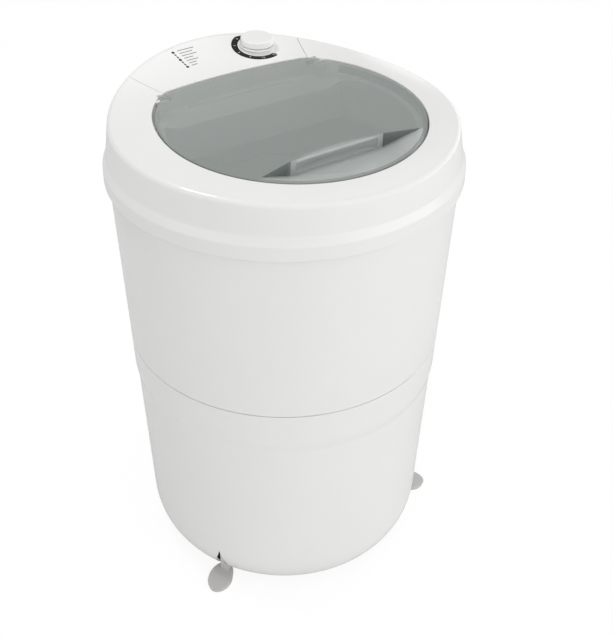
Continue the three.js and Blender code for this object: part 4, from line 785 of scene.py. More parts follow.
def cover_loop(index, pocket):
    rim, opening, throat = rim_at(index), open_at(index), throat_at(index)
    folded = min(index, ALL_SPOKES - index)
    angle = math.degrees(math.atan2(rim.y, rim.x))
    rim_z = rim_height(rim.y)
    wall_top = LIP_RADIUS - WALL_TOP_INSET
    thickness = PANEL_DECK_THICKNESS if folded >= CORNER_SPOKE else DECK_THICKNESS
    length = (rim - opening).length
    sunk = PANEL_THICKNESS + PANEL_SEAT_GAP if pocket else 0
    first = PANEL_RIM_INSET / length
    ramp_share = (opening.y - SHELF_RAMP_FRONT) / (SHELF_RAMP_BACK - SHELF_RAMP_FRONT)
    ledge = lid_height(opening.y) - lerp(LEDGE_DROP, SHELF_DROP, min(1, max(0, ramp_share)))
    throat_top = ledge - LEDGE_FALL
    throat_bottom = COVER_SEAT - THROAT_DEPTH
    throat_out = throat.lerp(opening, WALL / (throat - opening).length)
    wall_out = deck_point(index, 1 - WALL / length, thickness)
    chain = [
        (at_angle(LIP_INNER, angle, LIP_BOTTOM), 0.8),
        (at_angle(LIP_RADIUS, angle, LIP_BOTTOM), 1.6),
        (at_angle(LIP_RADIUS - SHOULDER_INSET, angle, SHOULDER_TOP), 1.8),
        (at_angle(LIP_RADIUS - CHAMFER_INSET, angle, CHAMFER_TOP), 1.2),
    ]
    for step in range(RIM_STEPS):
        turn = step / RIM_STEPS * math.pi / 2
        radius = RIM_RADIUS + (wall_top - RIM_RADIUS) * math.cos(turn)
        chain.append((at_angle(radius, angle, rim_z - RIM_FILLET * (1 - math.sin(turn))), 0))
    chain += [(deck_point(index, 0, 0), 0), (deck_point(index, first, 0), 0)]
    chain += [(deck_point(index, share, sunk), 0) for share in spaced(first, 1, DECK_STEPS)[:-1]]
    chain += [
        (deck_point(index, 1, sunk), 1.3),
        (raised(opening, ledge), 2.5),
        (raised(throat, throat_top), 2),
        (raised(throat, throat_bottom), 0.8),
        (raised(throat_out, throat_bottom), 0.8),
        (raised(throat_out, throat_top - WALL), 0),
        (raised(wall_out, ledge - WALL), 0),
        (wall_out, 0),
        (deck_point(index, 1 / 2, thickness), 0),
        (at_angle(wall_top - WALL, angle, rim_z - RIM_FILLET), 0),
        (at_angle(LIP_RADIUS - CHAMFER_INSET - WALL, angle, CHAMFER_TOP), 0),
        (at_angle(SEAT_INNER, angle, COVER_SEAT + WALL), 0),
        (at_angle(SEAT_INNER, angle, COVER_SEAT), 0),
        (at_angle(LIP_INNER, angle, COVER_SEAT), 0),
    ]
    return fillet([row[0] for row in chain], [row[1] for row in chain])


def spoke_range(first, last):
    return spaced(first, last, round((last - first) / SPOKE_STEP))


cover_loops = []
for start, end, pocket in ((0, CORNER_SPOKE, False), (CORNER_SPOKE, LEFT_CORNER_SPOKE, True),
                           (LEFT_CORNER_SPOKE, ALL_SPOKES, False)):
    cover_loops += [cover_loop(index, pocket) for index in spoke_range(start, end)]
cover_mesh = loops_mesh(cover_loops[:-1])

boss_inner = OPEN_CORNER_HALF - WALL
boss_front = HINGE_Y - HINGE_BOSS_LENGTH / 2
hinge_boss = box_mesh(
    (boss_inner + HINGE_BOSS_INSET, boss_front, HINGE_Z - HINGE_BOSS_DEPTH),
    (boss_inner + HINGE_BOSS_WIDTH, boss_front + HINGE_BOSS_LENGTH, HINGE_Z + HINGE_BOSS_COVER))
relief = box_mesh(
    (boss_inner - RELIEF_INSET, HINGE_Y - RELIEF_LENGTH, HINGE_Z - RELIEF_DEPTH),
    (RELIEF_HALF, HINGE_Y + RELIEF_LENGTH, LID_PLANE + LID_RISE))
along_x = Matrix.Translation(Vector((0, HINGE_Y, HINGE_Z)) * MM) @ turn_about("Y", 90)
bore = moved(rod_mesh(PIN_RADIUS + PIN_SLACK, OPEN_CORNER_HALF, PIN_END + FIT), along_x)


def window_points(drop):
    """The edge of the hole that the panel covers, at a drop below the deck."""
    low, high = CORNER_SPOKE + WINDOW_END_SPOKES, LEFT_CORNER_SPOKE - WINDOW_END_SPOKES
    first, last = WINDOW_INSET / PANEL_DEPTH, 1 - WINDOW_INSET / PANEL_DEPTH
    front = [deck_point(index, last, drop) for index in spoke_range(low, high)]
    back = [deck_point(index, first, drop) for index in reversed(spoke_range(low, high))]
    return front + back


window_loops = [window_points(WINDOW_CUT_DEPTH), window_points(-WINDOW_CUT_RISE)]
window = loops_mesh(window_loops, cap=True)


def shelf_groove():
    """A long shallow channel with round ends that drains the shelf behind the throat."""
    outline = []
    for end, start in ((1, -90), (-1, 90)):
        for step in range(GROOVE_END_STEPS + 1):
            turn = math.radians(start + 180 * step / GROOVE_END_STEPS)
            x = end * GROOVE_HALF + GROOVE_RADIUS * math.cos(turn)
            y = GROOVE_BACK + GROOVE_RADIUS * math.sin(turn)
            outline.append((x, y, lid_height(y) - SHELF_DROP))
    loops = [[Vector((x, y, z + rise)) for x, y, z in outline]
             for rise in (-GROOVE_DEPTH, GROOVE_CUT_RISE)]
    return loops_mesh(loops, cap=True)


cover_mesh = carved(
    cover_mesh, both_sides(hinge_boss), [*both_sides(relief), *both_sides(bore), window, shelf_groove()])
cover = finish_mesh("top_cover_shell", cover_mesh, WHITE)
place(cover, "root", "top_cover", slot="white_plastic")


# Control panel, with its dial

def panel_mesh():
    indexes = spoke_range(CORNER_SPOKE + PANEL_SEAM_SPOKES, LEFT_CORNER_SPOKE - PANEL_SEAM_SPOKES)
    first = (PANEL_RIM_INSET + PANEL_SEAM) / PANEL_DEPTH
    points, faces = [], []
    for drop in (0, PANEL_THICKNESS):
        for share in spaced(first, 1, PANEL_ROWS):
            points += [deck_point(index, share, drop) for index in indexes]
    columns = len(indexes)
    under = (PANEL_ROWS + 1) * columns

    for row in range(PANEL_ROWS):
        start, end = row * columns, (row + 1) * columns - 1
        for a in range(start, end):
            faces.append((a, a + 1, a + columns + 1, a + columns))
            faces.append((under + a, under + a + columns, under + a + columns + 1, under + a + 1))
        for a in (start, end):
            faces.append((a, a + columns, under + a + columns, under + a))
    for row in (0, PANEL_ROWS):
        for a in range(row * columns, (row + 1) * columns - 1):
            faces.append((a, a + 1, under + a + 1, under + a))
    return raw_mesh(points, faces)


pad_rims = []
for height, stand in ((0, TIMER), (-KNOB_PAD_SINK, KNOB_PLACE)):
    for step in range(KNOB_STEPS):
        point = at_angle(KNOB_PAD_RADIUS, 360 * step / KNOB_STEPS, height) * MM
        pad_rims.append(stand @ point / MM)
pad = hull_mesh(pad_rims)
trim = moved(rod_mesh(KNOB_PAD_RADIUS, 0, PAD_TRIM_HEIGHT, KNOB_STEPS), TIMER)
timer_hole = moved(rod_mesh(TIMER_HOLE_RADIUS, TIMER_HOLE_BOTTOM, TIMER_HOLE_TOP), TIMER)
seat = moved(rod_mesh(TIMER_SEAT_RADIUS, TIMER_SEAT_BOTTOM, -KNOB_PAD_LIFT, 48), TIMER)
panel_shape = carved(panel_mesh(), [pad, seat], [trim, timer_hole])
panel = finish_mesh("control_panel_plate", panel_shape, WHITE)
soften(panel, PANEL_EDGE)
place(panel, "root", "control_panel", slot="white_plastic")


INK_LIFT = 0.12
INK_THICKNESS = 0.1


def print_patch(name, rings, look, lift=INK_LIFT):
    """A thin print on the panel, from rows of plan points that are all equally long."""
    points, faces = [], []
    count = len(rings[0])
    for ring in rings:
        points += [panel_point(x, y, lift) for x, y in ring]
    for ring in range(len(rings) - 1):
        for i in range(count - 1):
            a = ring * count + i
            faces.append((a, a + 1, a + count + 1, a + count))
    made = finish_mesh(name, raw_mesh(points, faces), look, 60, False)
    configure(made.modifiers.new("ink", "SOLIDIFY"), thickness=INK_THICKNESS * MM, offset=-1)
    place(made, "root", slot="black_plastic")


def dial_point(radius, angle):
    local = at_angle(radius, angle) * MM
    world = KNOB_PLACE @ local
    return world.x / MM, world.y / MM


DIAL_INNER = 28.2
DIAL_OUTER = 37.5
DIAL_MIDDLE = (DIAL_INNER + DIAL_OUTER) / 2
DIAL_START = 100
DIAL_END = 298
DIAL_STEPS = 72
DIAL_POINT_SHARE = 0.09
DIAL_POINT_WIDTH_SHARE = 0.15
DIAL_TAIL_SHARE = 0.035
DIAL_TAIL_WIDTH_SHARE = 0.05
FIRST_NUMBER_TURN = 22
LAST_NUMBER_TURN = 8
NUMBER_SIZE = 5.2
NUMBER_LIFT = 0.22
NUMBER_STEPS = 5
MINUTES_PER_STEP = 3


def dial_half_width(share):
    """The band starts in a narrow point and ends round."""
    point = lerp(DIAL_POINT_WIDTH_SHARE, 1, min(1, share / DIAL_POINT_SHARE))
    past = max(0, (share - (1 - DIAL_TAIL_SHARE)) / DIAL_TAIL_SHARE)
    tail = max(DIAL_TAIL_WIDTH_SHARE, math.sqrt(max(0, 1 - past ** 2)))
    return (DIAL_OUTER - DIAL_INNER) / 2 * min(point, tail)


dial_rings = [[dial_point(DIAL_MIDDLE + dial_half_width(share) * side,
                          lerp(DIAL_START, DIAL_END, share))
               for share in spaced(0, 1, DIAL_STEPS)] for side in (-1, -0.5, 0, 0.5, 1)]
print_patch("dial_band", dial_rings, PRINT_BLACK)

number_angles = spaced(DIAL_START + FIRST_NUMBER_TURN, DIAL_END - LAST_NUMBER_TURN, NUMBER_STEPS)
for number, angle in enumerate(number_angles):
    text = bpy.data.curves.new(f"dial_number_{number}", "FONT")
    configure(text, body=str(number * MINUTES_PER_STEP), size=NUMBER_SIZE * MM, align_x="CENTER",
              align_y="CENTER", extrude=INK_THICKNESS / 2 * MM, resolution_u=3)
    holder = linked(f"dial_text_{number}", text)
    graph = bpy.context.evaluated_depsgraph_get()
    mesh = bpy.data.meshes.new_from_object(holder.evaluated_get(graph))
    bpy.data.objects.remove(holder)
    spot = panel_frame(*dial_point(DIAL_MIDDLE, angle))
    mesh.transform(spot @ lifted(NUMBER_LIFT) @ turn_about("Z", angle + 90))
    printed = finish_mesh(f"dial_number_{number}", mesh, PRINT_WHITE, 30, False)
    place(printed, "root", slot="white_plastic")

LIST_TOP = (-55.5, 208)
LIST_BOTTOM = (-53, 169)
LIST_LENGTHS = (27, 21, 24, 15, 19, 12, 10)
LIST_BAR_GAP = 7
LIST_BAR_WIDTH = 1.5
LIST_BAR_RISE = 1.5
LIST_BAR_SLOPE = 0.7
LIST_LINE_WIDTH = 1
LARGE_DOT_RADIUS = 2.3
SMALL_DOT_RADIUS = 1.4
DOT_LIFT = 0.16


def bar(name, start, end, width, look):
    direction = (Vector(end) - Vector(start)).normalized()
    side = Vector((-direction.y, direction.x)) * width / 2
    middle = [Vector(start).lerp(Vector(end), share) for share in spaced(0, 1, 6)]
    print_patch(name, [[point + side * row for point in middle] for row in (-1, 1)], look)


bar("program_line", LIST_TOP, LIST_BOTTOM, LIST_LINE_WIDTH, PRINT_GREY)
for row, length in enumerate(LIST_LENGTHS):
    dot = Vector(LIST_TOP).lerp(Vector(LIST_BOTTOM), row / (len(LIST_LENGTHS) - 1))
    radius = LARGE_DOT_RADIUS if row % 3 == 0 else SMALL_DOT_RADIUS
    turns = [step * math.pi / 8 for step in range(17)]
    rings = [[(dot.x + reach * math.cos(turn), dot.y + reach * math.sin(turn)) for turn in turns]
             for reach in (0.1, radius)]
    print_patch(f"program_dot_{row}", rings, PRINT_BLACK, DOT_LIFT)
    start = (dot.x + LIST_BAR_GAP, dot.y + LIST_BAR_RISE)
    end = (start[0] + length, start[1] + LIST_BAR_SLOPE)
    bar(f"program_bar_{row}", start, end, LIST_BAR_WIDTH, PRINT_GREY)


# Timer knob

knob_bottom = FIT + BEZEL_HEIGHT + KNOB_GAP
knob_top = knob_bottom + KNOB_HEIGHT
bezel_mesh = turned(from_height(FIT, [
    (BEZEL_HOLE_RADIUS, 0, 0.3), (BEZEL_RADIUS, 0, 0.5), (BEZEL_RADIUS, BEZEL_BAND_HEIGHT, 1.2),
    (BEZEL_TOP_RADIUS, BEZEL_HEIGHT, 1.2), (BEZEL_HOLE_RADIUS, BEZEL_HEIGHT, 0.3),
]), KNOB_STEPS, TIMER)
place(finish_mesh("knob_bezel_ring", bezel_mesh, WHITE, 32), "root", "knob_bezel", slot="white_plastic")

knob_mesh = turned([
    (TIMER_SHAFT_RADIUS + FIT, knob_bottom, 0), (KNOB_RADIUS - KNOB_UNDERCUT, knob_bottom, 0),
    (KNOB_RADIUS - KNOB_UNDERCUT, knob_bottom + KNOB_UNDERCUT_HEIGHT, 0),
    (KNOB_RADIUS, knob_bottom + KNOB_UNDERCUT_HEIGHT, 0.3),
    (KNOB_RADIUS, knob_bottom + KNOB_SKIRT_HEIGHT, 1.2),
    (KNOB_GRIP_RADIUS, knob_bottom + KNOB_SKIRT_HEIGHT + KNOB_SKIRT_RISE, 2.5),
    (KNOB_TOP_RADIUS, knob_top - KNOB_CROWN, 0.8), (KNOB_TOP_RADIUS - KNOB_CROWN_INSET, knob_top, 1),
    (TIMER_SHAFT_RADIUS, knob_top, 0), (AXIS_RADIUS, knob_top, 0),
    (AXIS_RADIUS, TIMER_SHAFT_HEIGHT + FIT, 0), (TIMER_SHAFT_RADIUS + FIT, TIMER_SHAFT_HEIGHT + FIT, 0),
], KNOB_STEPS, TIMER)
knob = finish_mesh("timer_knob_cap", knob_mesh, WHITE)
place(knob, "knob", "timer_knob", slot="white_plastic")


# Lid

def lid_outline(inset):
    return [lid_edge_at(index, inset) for index in spoke_range(0, ALL_SPOKES)[:-1]]


def lid_plate():
    edge = LID_EDGE
    rows = [(edge, 0), (edge * 0.3, -edge * 0.3), (0, -edge), (0, edge - LID_THICKNESS),
            (edge * 0.5, -LID_THICKNESS)]
    loops = [[raised(point, height) for point in lid_outline(inset)] for inset, height in rows]
    return loops_mesh(loops, cap=True)


def arc_points(radius, start, end, steps):
    return [Vector((radius * math.cos(a), radius * math.sin(a) - OPEN_BACK))
            for a in spaced(start, end, steps)]


def lid_skirt():
    outer = OPEN_RADIUS - LID_GAP - SKIRT_INSET
    end = math.asin((SKIRT_BACK + OPEN_BACK) / outer)
    outline = arc_points(outer, -math.pi - end, end, SKIRT_STEPS)
    outline += arc_points(outer - SKIRT_THICKNESS, end, -math.pi - end, SKIRT_STEPS)
    return prism_mesh(outline, FIT - LEDGE_DROP, -LID_THICKNESS / 2)


def scoop(grow, top):
    front = math.atan2(OPEN_BACK - SCOOP_TIP_FRONT, SCOOP_TIP_HALF)
    rim_radius = OPEN_RADIUS - LID_GAP - SCOOP_RIM_WIDTH + grow / 2
    rim = arc_points(rim_radius, -math.pi - front, front, SCOOP_STEPS)
    half, tip, step = SCOOP_STEP_HALF + grow, SCOOP_TIP_HALF + grow, grow - SCOOP_STEP_FRONT
    points = [(p.x, p.y, height) for p in rim for height in (top, -grow)]
    points += [(x, grow - SCOOP_TIP_FRONT, height) for x in (-tip, tip) for height in (top, -grow)]
    points += [(x, step, height) for x in (-half, half) for height in (top, -SCOOP_DEPTH - grow)]
    return hull_mesh(points)


def scoop_pocket(grow):
    outline = []
    for step in range(POCKET_STEPS + 1):
        turn = math.pi * step / POCKET_STEPS
        x = (POCKET_HALF + grow) * math.cos(turn)
        outline.append(Vector((x, (POCKET_DEPTH + grow) * math.sin(turn) - SCOOP_STEP_FRONT)))
    outline += [Vector((x, -SCOOP_STEP_FRONT - WALL)) for x in (-POCKET_HALF, POCKET_HALF)]
    return prism_mesh(outline, -POCKET_BOTTOM_DROP - grow, grow - POCKET_TOP_DROP)


ear_place = Matrix.Translation(Vector((0, HINGE_BACK, -HINGE_DROP)) * MM) @ turn_about("Y", 90)
ear = moved(rod_mesh(EAR_RADIUS, EAR_INNER, EAR_INNER + EAR_WIDTH), ear_place)
pin_hole = moved(rod_mesh(PIN_RADIUS + PIN_SLACK, PIN_START - FIT, PIN_END), ear_place)
lid_mesh = carved(lid_plate(), [
    lid_skirt(), *both_sides(ear), scoop(SCOOP_WALL, -LID_THICKNESS / 2), scoop_pocket(SCOOP_WALL),
], [scoop(0, SCOOP_CUT_TOP), scoop_pocket(0), *both_sides(pin_hole)])
scoop_back = (POCKET_DEPTH + SKIRT_THICKNESS - SCOOP_STEP_FRONT + WALL) * MM
below_plate = [face.index for face in lid_mesh.polygons
               if face.center.z < -(LID_THICKNESS + FIT) * MM and face.center.y < scoop_back]
lid_mesh.transform(LID)
lid = finish_mesh("lid_window", lid_mesh, SMOKY, 25)
lid_mesh.materials.append(SMOKY_THIN_PAINTED_LIGHT)
lid_mesh.materials.append(SMOKY_THICK_PAINTED_SHADE)

# The scoop gets a lighter colour than the plate, which is painted light where its hollow lies in shade, and
# the two ends of its step get a darker colour, which is painted shade
for index in below_plate:
    face = lid_mesh.polygons[index]
    # These faces at the ends of the step take the painted shade
    shaded_step_end = abs(face.center.x) > POCKET_HALF * MM and abs(face.normal.z) < 0.6
    shaded_step_end = shaded_step_end and face.center.y > -(SCOOP_TIP_FRONT + 1) * MM
    face.material_index = 2 if shaded_step_end else 1
soften(lid, LID_SOFT_EDGE, 40)
place(lid, "lid", "lid", slot="smoky_clear_plastic")


# Body shells

corner_top = BASE_HEIGHT + BASE_CORNER_HEIGHT
step_top = SEAM_BOTTOM - STEP_BELOW_SEAM


def wall_radius(height):
    top = step_top - STEP_HEIGHT
    return lerp(BOTTOM_RADIUS, STEP_BOTTOM_RADIUS, (height - corner_top) / (top - corner_top))


outer_corner = quarter(BASE_FLAT_RADIUS, corner_top, BASE_CORNER_WIDTH, BASE_CORNER_HEIGHT, 12)
inner_corner = quarter(BASE_FLAT_RADIUS, corner_top, BASE_CORNER_WIDTH - WALL,
                       BASE_CORNER_HEIGHT - FLOOR_THICKNESS, 12)
lower_mesh = turned([
    (FLOOR_OPENING_RADIUS, BASE_HEIGHT, 0.5), *outer_corner,
    (STEP_BOTTOM_RADIUS, step_top - STEP_HEIGHT, 4), (STEP_TOP_RADIUS, step_top, 4),
    (SEAM_RADIUS, SEAM_BOTTOM, 0.8), (JOIN_LIP_RADIUS, SEAM_BOTTOM, 0), (JOIN_LIP_RADIUS, JOIN_LIP_TOP, 0.5),
    (JOIN_LIP_INNER, JOIN_LIP_TOP, 0.5), (JOIN_LIP_INNER, SEAM_BOTTOM - JOIN_LIP_ROOT, 0),
    (STEP_TOP_RADIUS - WALL, step_top, 0), (STEP_BOTTOM_RADIUS - WALL, step_top - STEP_HEIGHT, 0),
    *reversed(inner_corner), (FLOOR_OPENING_RADIUS, FLOOR_TOP, 0.5),
], BODY_STEPS)


def radial(mesh, angle, height):
    """Lays a mesh made round Z along a spoke, so that its heights become distances outward."""
    return moved(mesh, turn_about("Z", angle) @ lifted(height) @ turn_about("Y", 90))


def notch(angle):
    section = [(side * NOTCH_HALF_WIDTH, z) for side in (-1, 1) for z in (NOTCH_CUT_BOTTOM, NOTCH_SHOULDER)]
    section.append((0, NOTCH_APEX))
    points = [(x, y, z) for x in (BASE_FLAT_RADIUS, LIP_RADIUS) for y, z in section]
    return moved(hull_mesh(points), turn_about("Z", angle))


def port(angle, height, radius, bore_radius):
    wall_here = wall_radius(height)
    boss = rod_mesh(radius, wall_here - PORT_BOSS_INNER, wall_here + PORT_BOSS_PROUD, 64)
    hole = rod_mesh(bore_radius, wall_here - PORT_CUT_IN, wall_here + PORT_CUT_OUT, 48)
    return radial(boss, angle, height), radial(hole, angle, height)


drain_boss, drain_bore = port(SPIGOT_ANGLE, SPIGOT_HEIGHT, DRAIN_BOSS_RADIUS, DRAIN_BORE_RADIUS)
gland_boss, gland_bore = port(GLAND_ANGLE, GLAND_HEIGHT, GLAND_BOSS_RADIUS, GLAND_BORE_RADIUS)
lower_mesh = carved(lower_mesh, [drain_boss, gland_boss],
                    [drain_bore, gland_bore, *[notch(angle) for angle in FOOT_ANGLES.values()]])
lower = finish_mesh("lower_shell_skin", lower_mesh, WHITE)
place(lower, "root", "lower_shell", slot="white_plastic")

upper_mesh = turned([
    (SEAM_RADIUS, SEAM_TOP, 0.8), (TOP_RADIUS, LIP_BOTTOM, 0), (TOP_RADIUS, UPPER_FLANGE_TOP, 0.8),
    (TOP_RADIUS - UPPER_FLANGE_WIDTH, UPPER_FLANGE_TOP, 0.5),
    (TOP_RADIUS - UPPER_FLANGE_WIDTH, UPPER_FLANGE_TOP - WALL, 0.5),
    (TOP_RADIUS - WALL, UPPER_FLANGE_TOP - WALL, 0), (TOP_RADIUS - WALL, LIP_BOTTOM, 0),
    (SEAM_RADIUS - WALL, SEAM_TOP, 0.8),
], BODY_STEPS)
upper = finish_mesh("upper_shell_skin", upper_mesh, WHITE)
place(upper, "root", "upper_shell", slot="white_plastic")


# Feet

def foot_mesh(angle):
    centre = BOTTOM_RADIUS + FOOT_REACH - PAD_LENGTH / 2
    fall = math.tan(math.radians(PAD_SLOPE))
    toe = PAD_LENGTH * PAD_SOLE_SHARE / 2
    pad_points = []
    for step in range(PAD_STEPS):
        turn = 2 * math.pi * step / PAD_STEPS
        along, across = PAD_LENGTH / 2 * math.cos(turn), PAD_WIDTH / 2 * math.sin(turn)
        behind = max(0, -along * PAD_SOLE_SHARE - toe * PAD_LIFT_SHARE)
        pad_points.append((centre + along, across, PAD_TOP_HEIGHT - along * fall))
        sole = (centre + along * PAD_SOLE_SHARE, across * PAD_SOLE_SHARE, behind * PAD_TOE_LIFT / toe)
        pad_points.append(sole)
    half = NOTCH_HALF_WIDTH - WEDGE_GAP
    inner, apex = BASE_FLAT_RADIUS + FIT, NOTCH_APEX - WEDGE_APEX_DROP
    low = BOTTOM_RADIUS - WEDGE_FOOT_INSET
    wedge_points = [(inner, 0, apex), (BOTTOM_RADIUS - WEDGE_TOP_RECESS, 0, apex)]
    wedge_points += [(inner, side * half, z) for side in (-1, 1) for z in (NOTCH_SHOULDER, WEDGE_BOTTOM)]
    wedge_points += [(low, side * half, WEDGE_BOTTOM) for side in (-1, 1)]
    bottom = FLOOR_TOP + FIT
    end = BASE_FLAT_RADIUS - TONGUE_END_INSET
    tongue = box_mesh((end - TONGUE_LENGTH, -TONGUE_WIDTH / 2, bottom),
                      (end, TONGUE_WIDTH / 2, bottom + TONGUE_THICKNESS))
    root = box_mesh((end - WALL, -half, bottom), (inner + WALL, half, bottom + TONGUE_THICKNESS))
    wedge = hull_mesh(wedge_points)
    mesh = carved(hull_mesh(pad_points), [wedge, tongue, root], [])
    mesh.transform(turn_about("Z", angle))
    return mesh


for node, angle in FOOT_ANGLES.items():
    foot = finish_mesh(node + "_moulding", foot_mesh(angle), GREY)
    soften(foot, FOOT_EDGE, 30, 3)
    place(foot, "root", node, slot="grey_plastic")


# Wash tub and pulsator

tub_flat = TUB_BOTTOM_RADIUS - TUB_CORNER_RADIUS
tub_middle = TUB_FLOOR_TOP + TUB_CORNER_RADIUS
tub_under = TUB_FLOOR_TOP - TUB_FLOOR_THICKNESS
tub_outer = quarter(tub_flat, tub_middle, TUB_CORNER_RADIUS + WALL,
                    TUB_CORNER_RADIUS + TUB_FLOOR_THICKNESS, 10)
tub_inner = quarter(tub_flat, tub_middle, TUB_CORNER_RADIUS, TUB_CORNER_RADIUS, 10)
tub_mesh = turned([
    (TUB_SEAL_RADIUS, TUB_BOSS_BOTTOM, 0), (TUB_BOSS_RADIUS, TUB_BOSS_BOTTOM, 1),
    (TUB_BOSS_RADIUS, tub_under, 1), *tub_outer,
    (TUB_TOP_RADIUS + WALL, TUB_FLANGE_BOTTOM, 1), (TUB_FLANGE_RADIUS, TUB_FLANGE_BOTTOM, 0.5),
    (TUB_FLANGE_RADIUS, TUB_FLANGE_TOP, 0.5), (TUB_TOP_RADIUS, TUB_FLANGE_TOP, 1.5),
    *reversed(tub_inner), (TUB_SEAL_RADIUS, TUB_FLOOR_TOP, 1),
], TUB_STEPS)
inside = turned([
    (AXIS_RADIUS, TUB_FLOOR_TOP, 0), *tub_inner, (TUB_TOP_RADIUS, TUB_FLANGE_TOP, 0),
    (AXIS_RADIUS, TUB_FLANGE_TOP, 0),
], TUB_STEPS)
drain_hole = moved(rod_mesh(TUB_DRAIN_RADIUS, TUB_DRAIN_BOTTOM, TUB_DRAIN_TOP, 48),
                   Matrix.Translation(at_angle(TUB_DRAIN_OUT, SPIGOT_ANGLE) * MM))
post = rod_mesh(POST_RADIUS, POST_BOTTOM, tub_middle)
posts = [moved(post, Matrix.Translation(Vector((x, POST_MIDDLE + y, 0)) * MM))
         for x in (-POST_ACROSS, POST_ACROSS) for y in (-POST_HALF_DEPTH, POST_HALF_DEPTH)]
tub = finish_mesh("wash_tub_basin", carved(tub_mesh, posts, [inside, drain_hole]), SOFT_WHITE)
place(tub, "root", "wash_tub", slot="soft_white_plastic")

# Rows of radius, height over the base and corner radius
PULSATOR_SECTION = [
    (7.3, 0, 0), (7.3, 16.3, 0), (3.3, 16.3, 0), (3.3, 22, 0), (8, 22, 0), (8, 27, 0.5), (9, 28, 0.5),
    (14, 28, 2), (24, 24, 4), (40, 10, 8), (PULSATOR_RADIUS, 6, 2), (PULSATOR_RADIUS, 0, 1),
]
VANE_ENDS = ((20, 25.6), (112, 15.6))
VANE_BOTTOM = 3
VANE_BOTTOM_WIDTH = 17.6
VANE_TOP_WIDTH = 5.6

base = TUB_FLOOR_TOP + PULSATOR_LIFT
pulsator_mesh = turned(from_height(base, PULSATOR_SECTION), TUB_STEPS)
vane = hull_mesh([(x, side * width / 2, base + z) for x, height in VANE_ENDS for side in (-1, 1)
                          for width, z in ((VANE_BOTTOM_WIDTH, VANE_BOTTOM), (VANE_TOP_WIDTH, height))])
vanes = [moved(vane, turn_about("Z", 360 * item / VANE_COUNT)) for item in range(VANE_COUNT)]
pulsator_mesh = carved(pulsator_mesh, vanes, [])
pulsator = finish_mesh("pulsator_disc", pulsator_mesh, WHITE)
soften(pulsator, PULSATOR_EDGE, 30, 3)
place(pulsator, "pulsator", "pulsator", slot="white_plastic")


# Drain spigot and cable gland, as rows of radius, distance outward and corner radius

HOSE_END_INSET = 4
SPIGOT_TAIL = [(9.5, -15, 0.3), (12, -15, 0.6), (12, 0.15, 0), (13, 0.15, 0.3)]
SPIGOT_CATCH = [(14.2, 0, 0.3), (13, 0, 0)]
SPIGOT_NOZZLE = [
    (13, 0, 0), (20, 0, 0.6), (20, 3.5, 1), (13, 3.5, 1), (13, 9.2, 0.4), (12.2, 11, 0.4),
    (13, 12.8, 0.5), (13, 16, 0.5), (12, 18, 0.5), (9.5, 18, 0.4),
]
GLAND_TAIL = [(3.8, -4, 0.3), (7, -4, 0.3), (8.2, 0, 0.3), (7, 0, 0)]
GLAND_COLLAR = [(7, 0, 0), (10.5, 0, 0.5), (10.5, 3, 0.9), (7, 3, 0.4)]
GLAND_RING = [(0, 0, 0.2), (-0.9, 0.5, 0.2), (-0.9, 1.1, 0.2), (-0.3, 1.6, 0.2)]
GLAND_END = [(5, 13, 0.5), (3.8, 13, 0.4)]
GLAND_RINGS = 4
GLAND_RING_START = 4
GLAND_RING_PITCH = 2.1
GLAND_RING_LARGE = 6.7
GLAND_RING_SMALL = 5.2


def port_faces(height):
    return wall_radius(height) - PORT_BOSS_INNER - FIT, wall_radius(height) + PORT_BOSS_PROUD + FIT


drain_back, drain_face = port_faces(SPIGOT_HEIGHT)
gland_back, gland_face = port_faces(GLAND_HEIGHT)
hose_end = drain_back - HOSE_END_INSET - FIT
spigot_mesh = turned([
    *from_height(hose_end, SPIGOT_TAIL), *from_height(drain_back, SPIGOT_CATCH),
    *from_height(drain_face, SPIGOT_NOZZLE),
], 80)
spigot = finish_mesh("drain_spigot_turning", radial(spigot_mesh, SPIGOT_ANGLE, SPIGOT_HEIGHT), GREY)
place(spigot, "root", "drain_spigot", slot="grey_plastic")

gland_profile = from_height(gland_back, GLAND_TAIL) + from_height(gland_face, GLAND_COLLAR)
for step in range(GLAND_RINGS):
    low = gland_face + GLAND_RING_START + step * GLAND_RING_PITCH
    radius = lerp(GLAND_RING_LARGE, GLAND_RING_SMALL, step / (GLAND_RINGS - 1))
    gland_profile += from_height(low, [(radius + grow, rise, corner) for grow, rise, corner in GLAND_RING])
gland_profile += from_height(gland_face, GLAND_END)
gland_mesh = radial(turned(gland_profile, 64), GLAND_ANGLE, GLAND_HEIGHT)
gland = finish_mesh("cable_gland_moulding", gland_mesh, BLACK)
place(gland, "root", "cable_gland", slot="black_plastic")


# Finishes of the pieces that keep their solids

LOOKS = {
    "white_plastic": WHITE,
    "soft_white_plastic": SOFT_WHITE,
    "grey_plastic": GREY,
    "black_plastic": BLACK,
    "smoky_clear_plastic": SMOKY,
    "rubber": RUBBER,
    "zinc_steel": ZINC,
    "dark_steel": DARK_STEEL,
    "cast_aluminium": CAST,
    "copper": COPPER,
    "brass": BRASS,
}
slots = {row["node"]: row["material_slot"] for row in frame["record"]["subparts"]}
for node, solid in frame["nodes"].items():
    for holder in solid.material_slots:
        holder.material = LOOKS[slots[node]]


# Floor, light and camera

PLAIN_WHITE = (1, 1, 1, 1)
FLOOR_HALF = 9000
FLOOR_GLOW = 1.06
FLOOR_GLOW_SHARE = 0.84
BRIGHT_SIDE = (0.72, -1.12, 0.3)
BRIGHT_REACH = 1.3
DARK_LEVEL = 0.28
BRIGHT_LEVEL = 1.09
BAND_TOP = 0.26
BAND_BOTTOM = 0.12
LEVEL_OVER_BAND = 0.91
LEVEL_UNDER_BAND = 2.25
LIGHT_PLACE = Vector((-0.4, 0.35, 1.75))
LIGHT_TARGET = Vector((0, 0, 0.6))

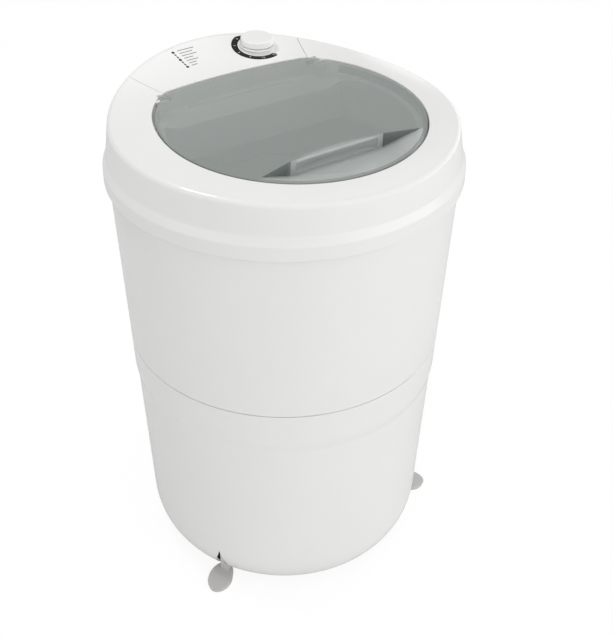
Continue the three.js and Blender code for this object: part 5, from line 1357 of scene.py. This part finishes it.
floor_points = [(x * FLOOR_HALF, y * FLOOR_HALF, 0) for x, y in ((-1, -1), (1, -1), (1, 1), (-1, 1))]
floor_look, tree, shader = material("studio_white")
fill(tree, shader, {"Base Color": (0.9, 0.9, 0.9, 1), "Roughness": 0.9, "Specular IOR Level": 0.1})
rays = new_node(tree, "LightPath", {})
seen = maths(tree, "MAXIMUM", rays["Is Camera Ray"], rays["Is Transmission Ray"])
glow = new_node(tree, "Emission", {"Color": PLAIN_WHITE, "Strength": FLOOR_GLOW})["Emission"]
blend = mixed(tree, maths(tree, "MULTIPLY", seen, FLOOR_GLOW_SHARE), shader.outputs["BSDF"], glow)
tree.links.new(blend, tree.nodes["Material Output"].inputs["Surface"])
floor_mesh = raw_mesh(floor_points, [(0, 1, 2, 3)])
floor = finish_mesh("studio_floor", floor_mesh, floor_look, 30, False)

# The studio is brighter on one side and near the horizon, and plain white where it is seen
world = bpy.data.worlds.new("studio")
bpy.context.scene.world = world
world.use_nodes = True
tree = world.node_tree
tree.nodes.clear()
direction = new_node(tree, "TexCoord", {})["Generated"]
dot = new_node(tree, "VectorMath", {0: direction, 1: BRIGHT_SIDE}, operation="DOT_PRODUCT")["Value"]
level = spread(tree, dot, DARK_LEVEL, BRIGHT_LEVEL, -BRIGHT_REACH, BRIGHT_REACH)
upward = new_node(tree, "SeparateXYZ", {"Vector": direction})["Z"]
band = spread(tree, upward, LEVEL_OVER_BAND, LEVEL_UNDER_BAND, BAND_TOP, BAND_BOTTOM, "SMOOTHSTEP")
strength = maths(tree, "MULTIPLY", level, band)
lit = new_node(tree, "Background", {"Color": PLAIN_WHITE, "Strength": strength})["Background"]
plain = new_node(tree, "Background", {"Color": PLAIN_WHITE})["Background"]
camera_ray = new_node(tree, "LightPath", {})["Is Camera Ray"]
new_node(tree, "OutputWorld", {"Surface": mixed(tree, camera_ray, lit, plain)})

light = linked("top_light", bpy.data.lights.new("top_light", "AREA"))
configure(light.data, shape="DISK", size=0.3, energy=4.4)
light.location = LIGHT_PLACE
light.rotation_euler = (LIGHT_TARGET - LIGHT_PLACE).to_track_quat("-Z", "Y").to_euler()

camera = linked("photo_camera", bpy.data.cameras.new("photo_camera"))
configure(camera.data, lens=53.94, sensor_width=36, shift_x=0.0342, shift_y=-0.0591)
camera.location = (-0.6273, -0.9729, 1.2618)
camera.rotation_euler = (math.radians(54.837), 0, math.radians(-32.814))
bpy.context.scene.camera = camera
bpy.context.scene.view_settings.view_transform = "Standard"
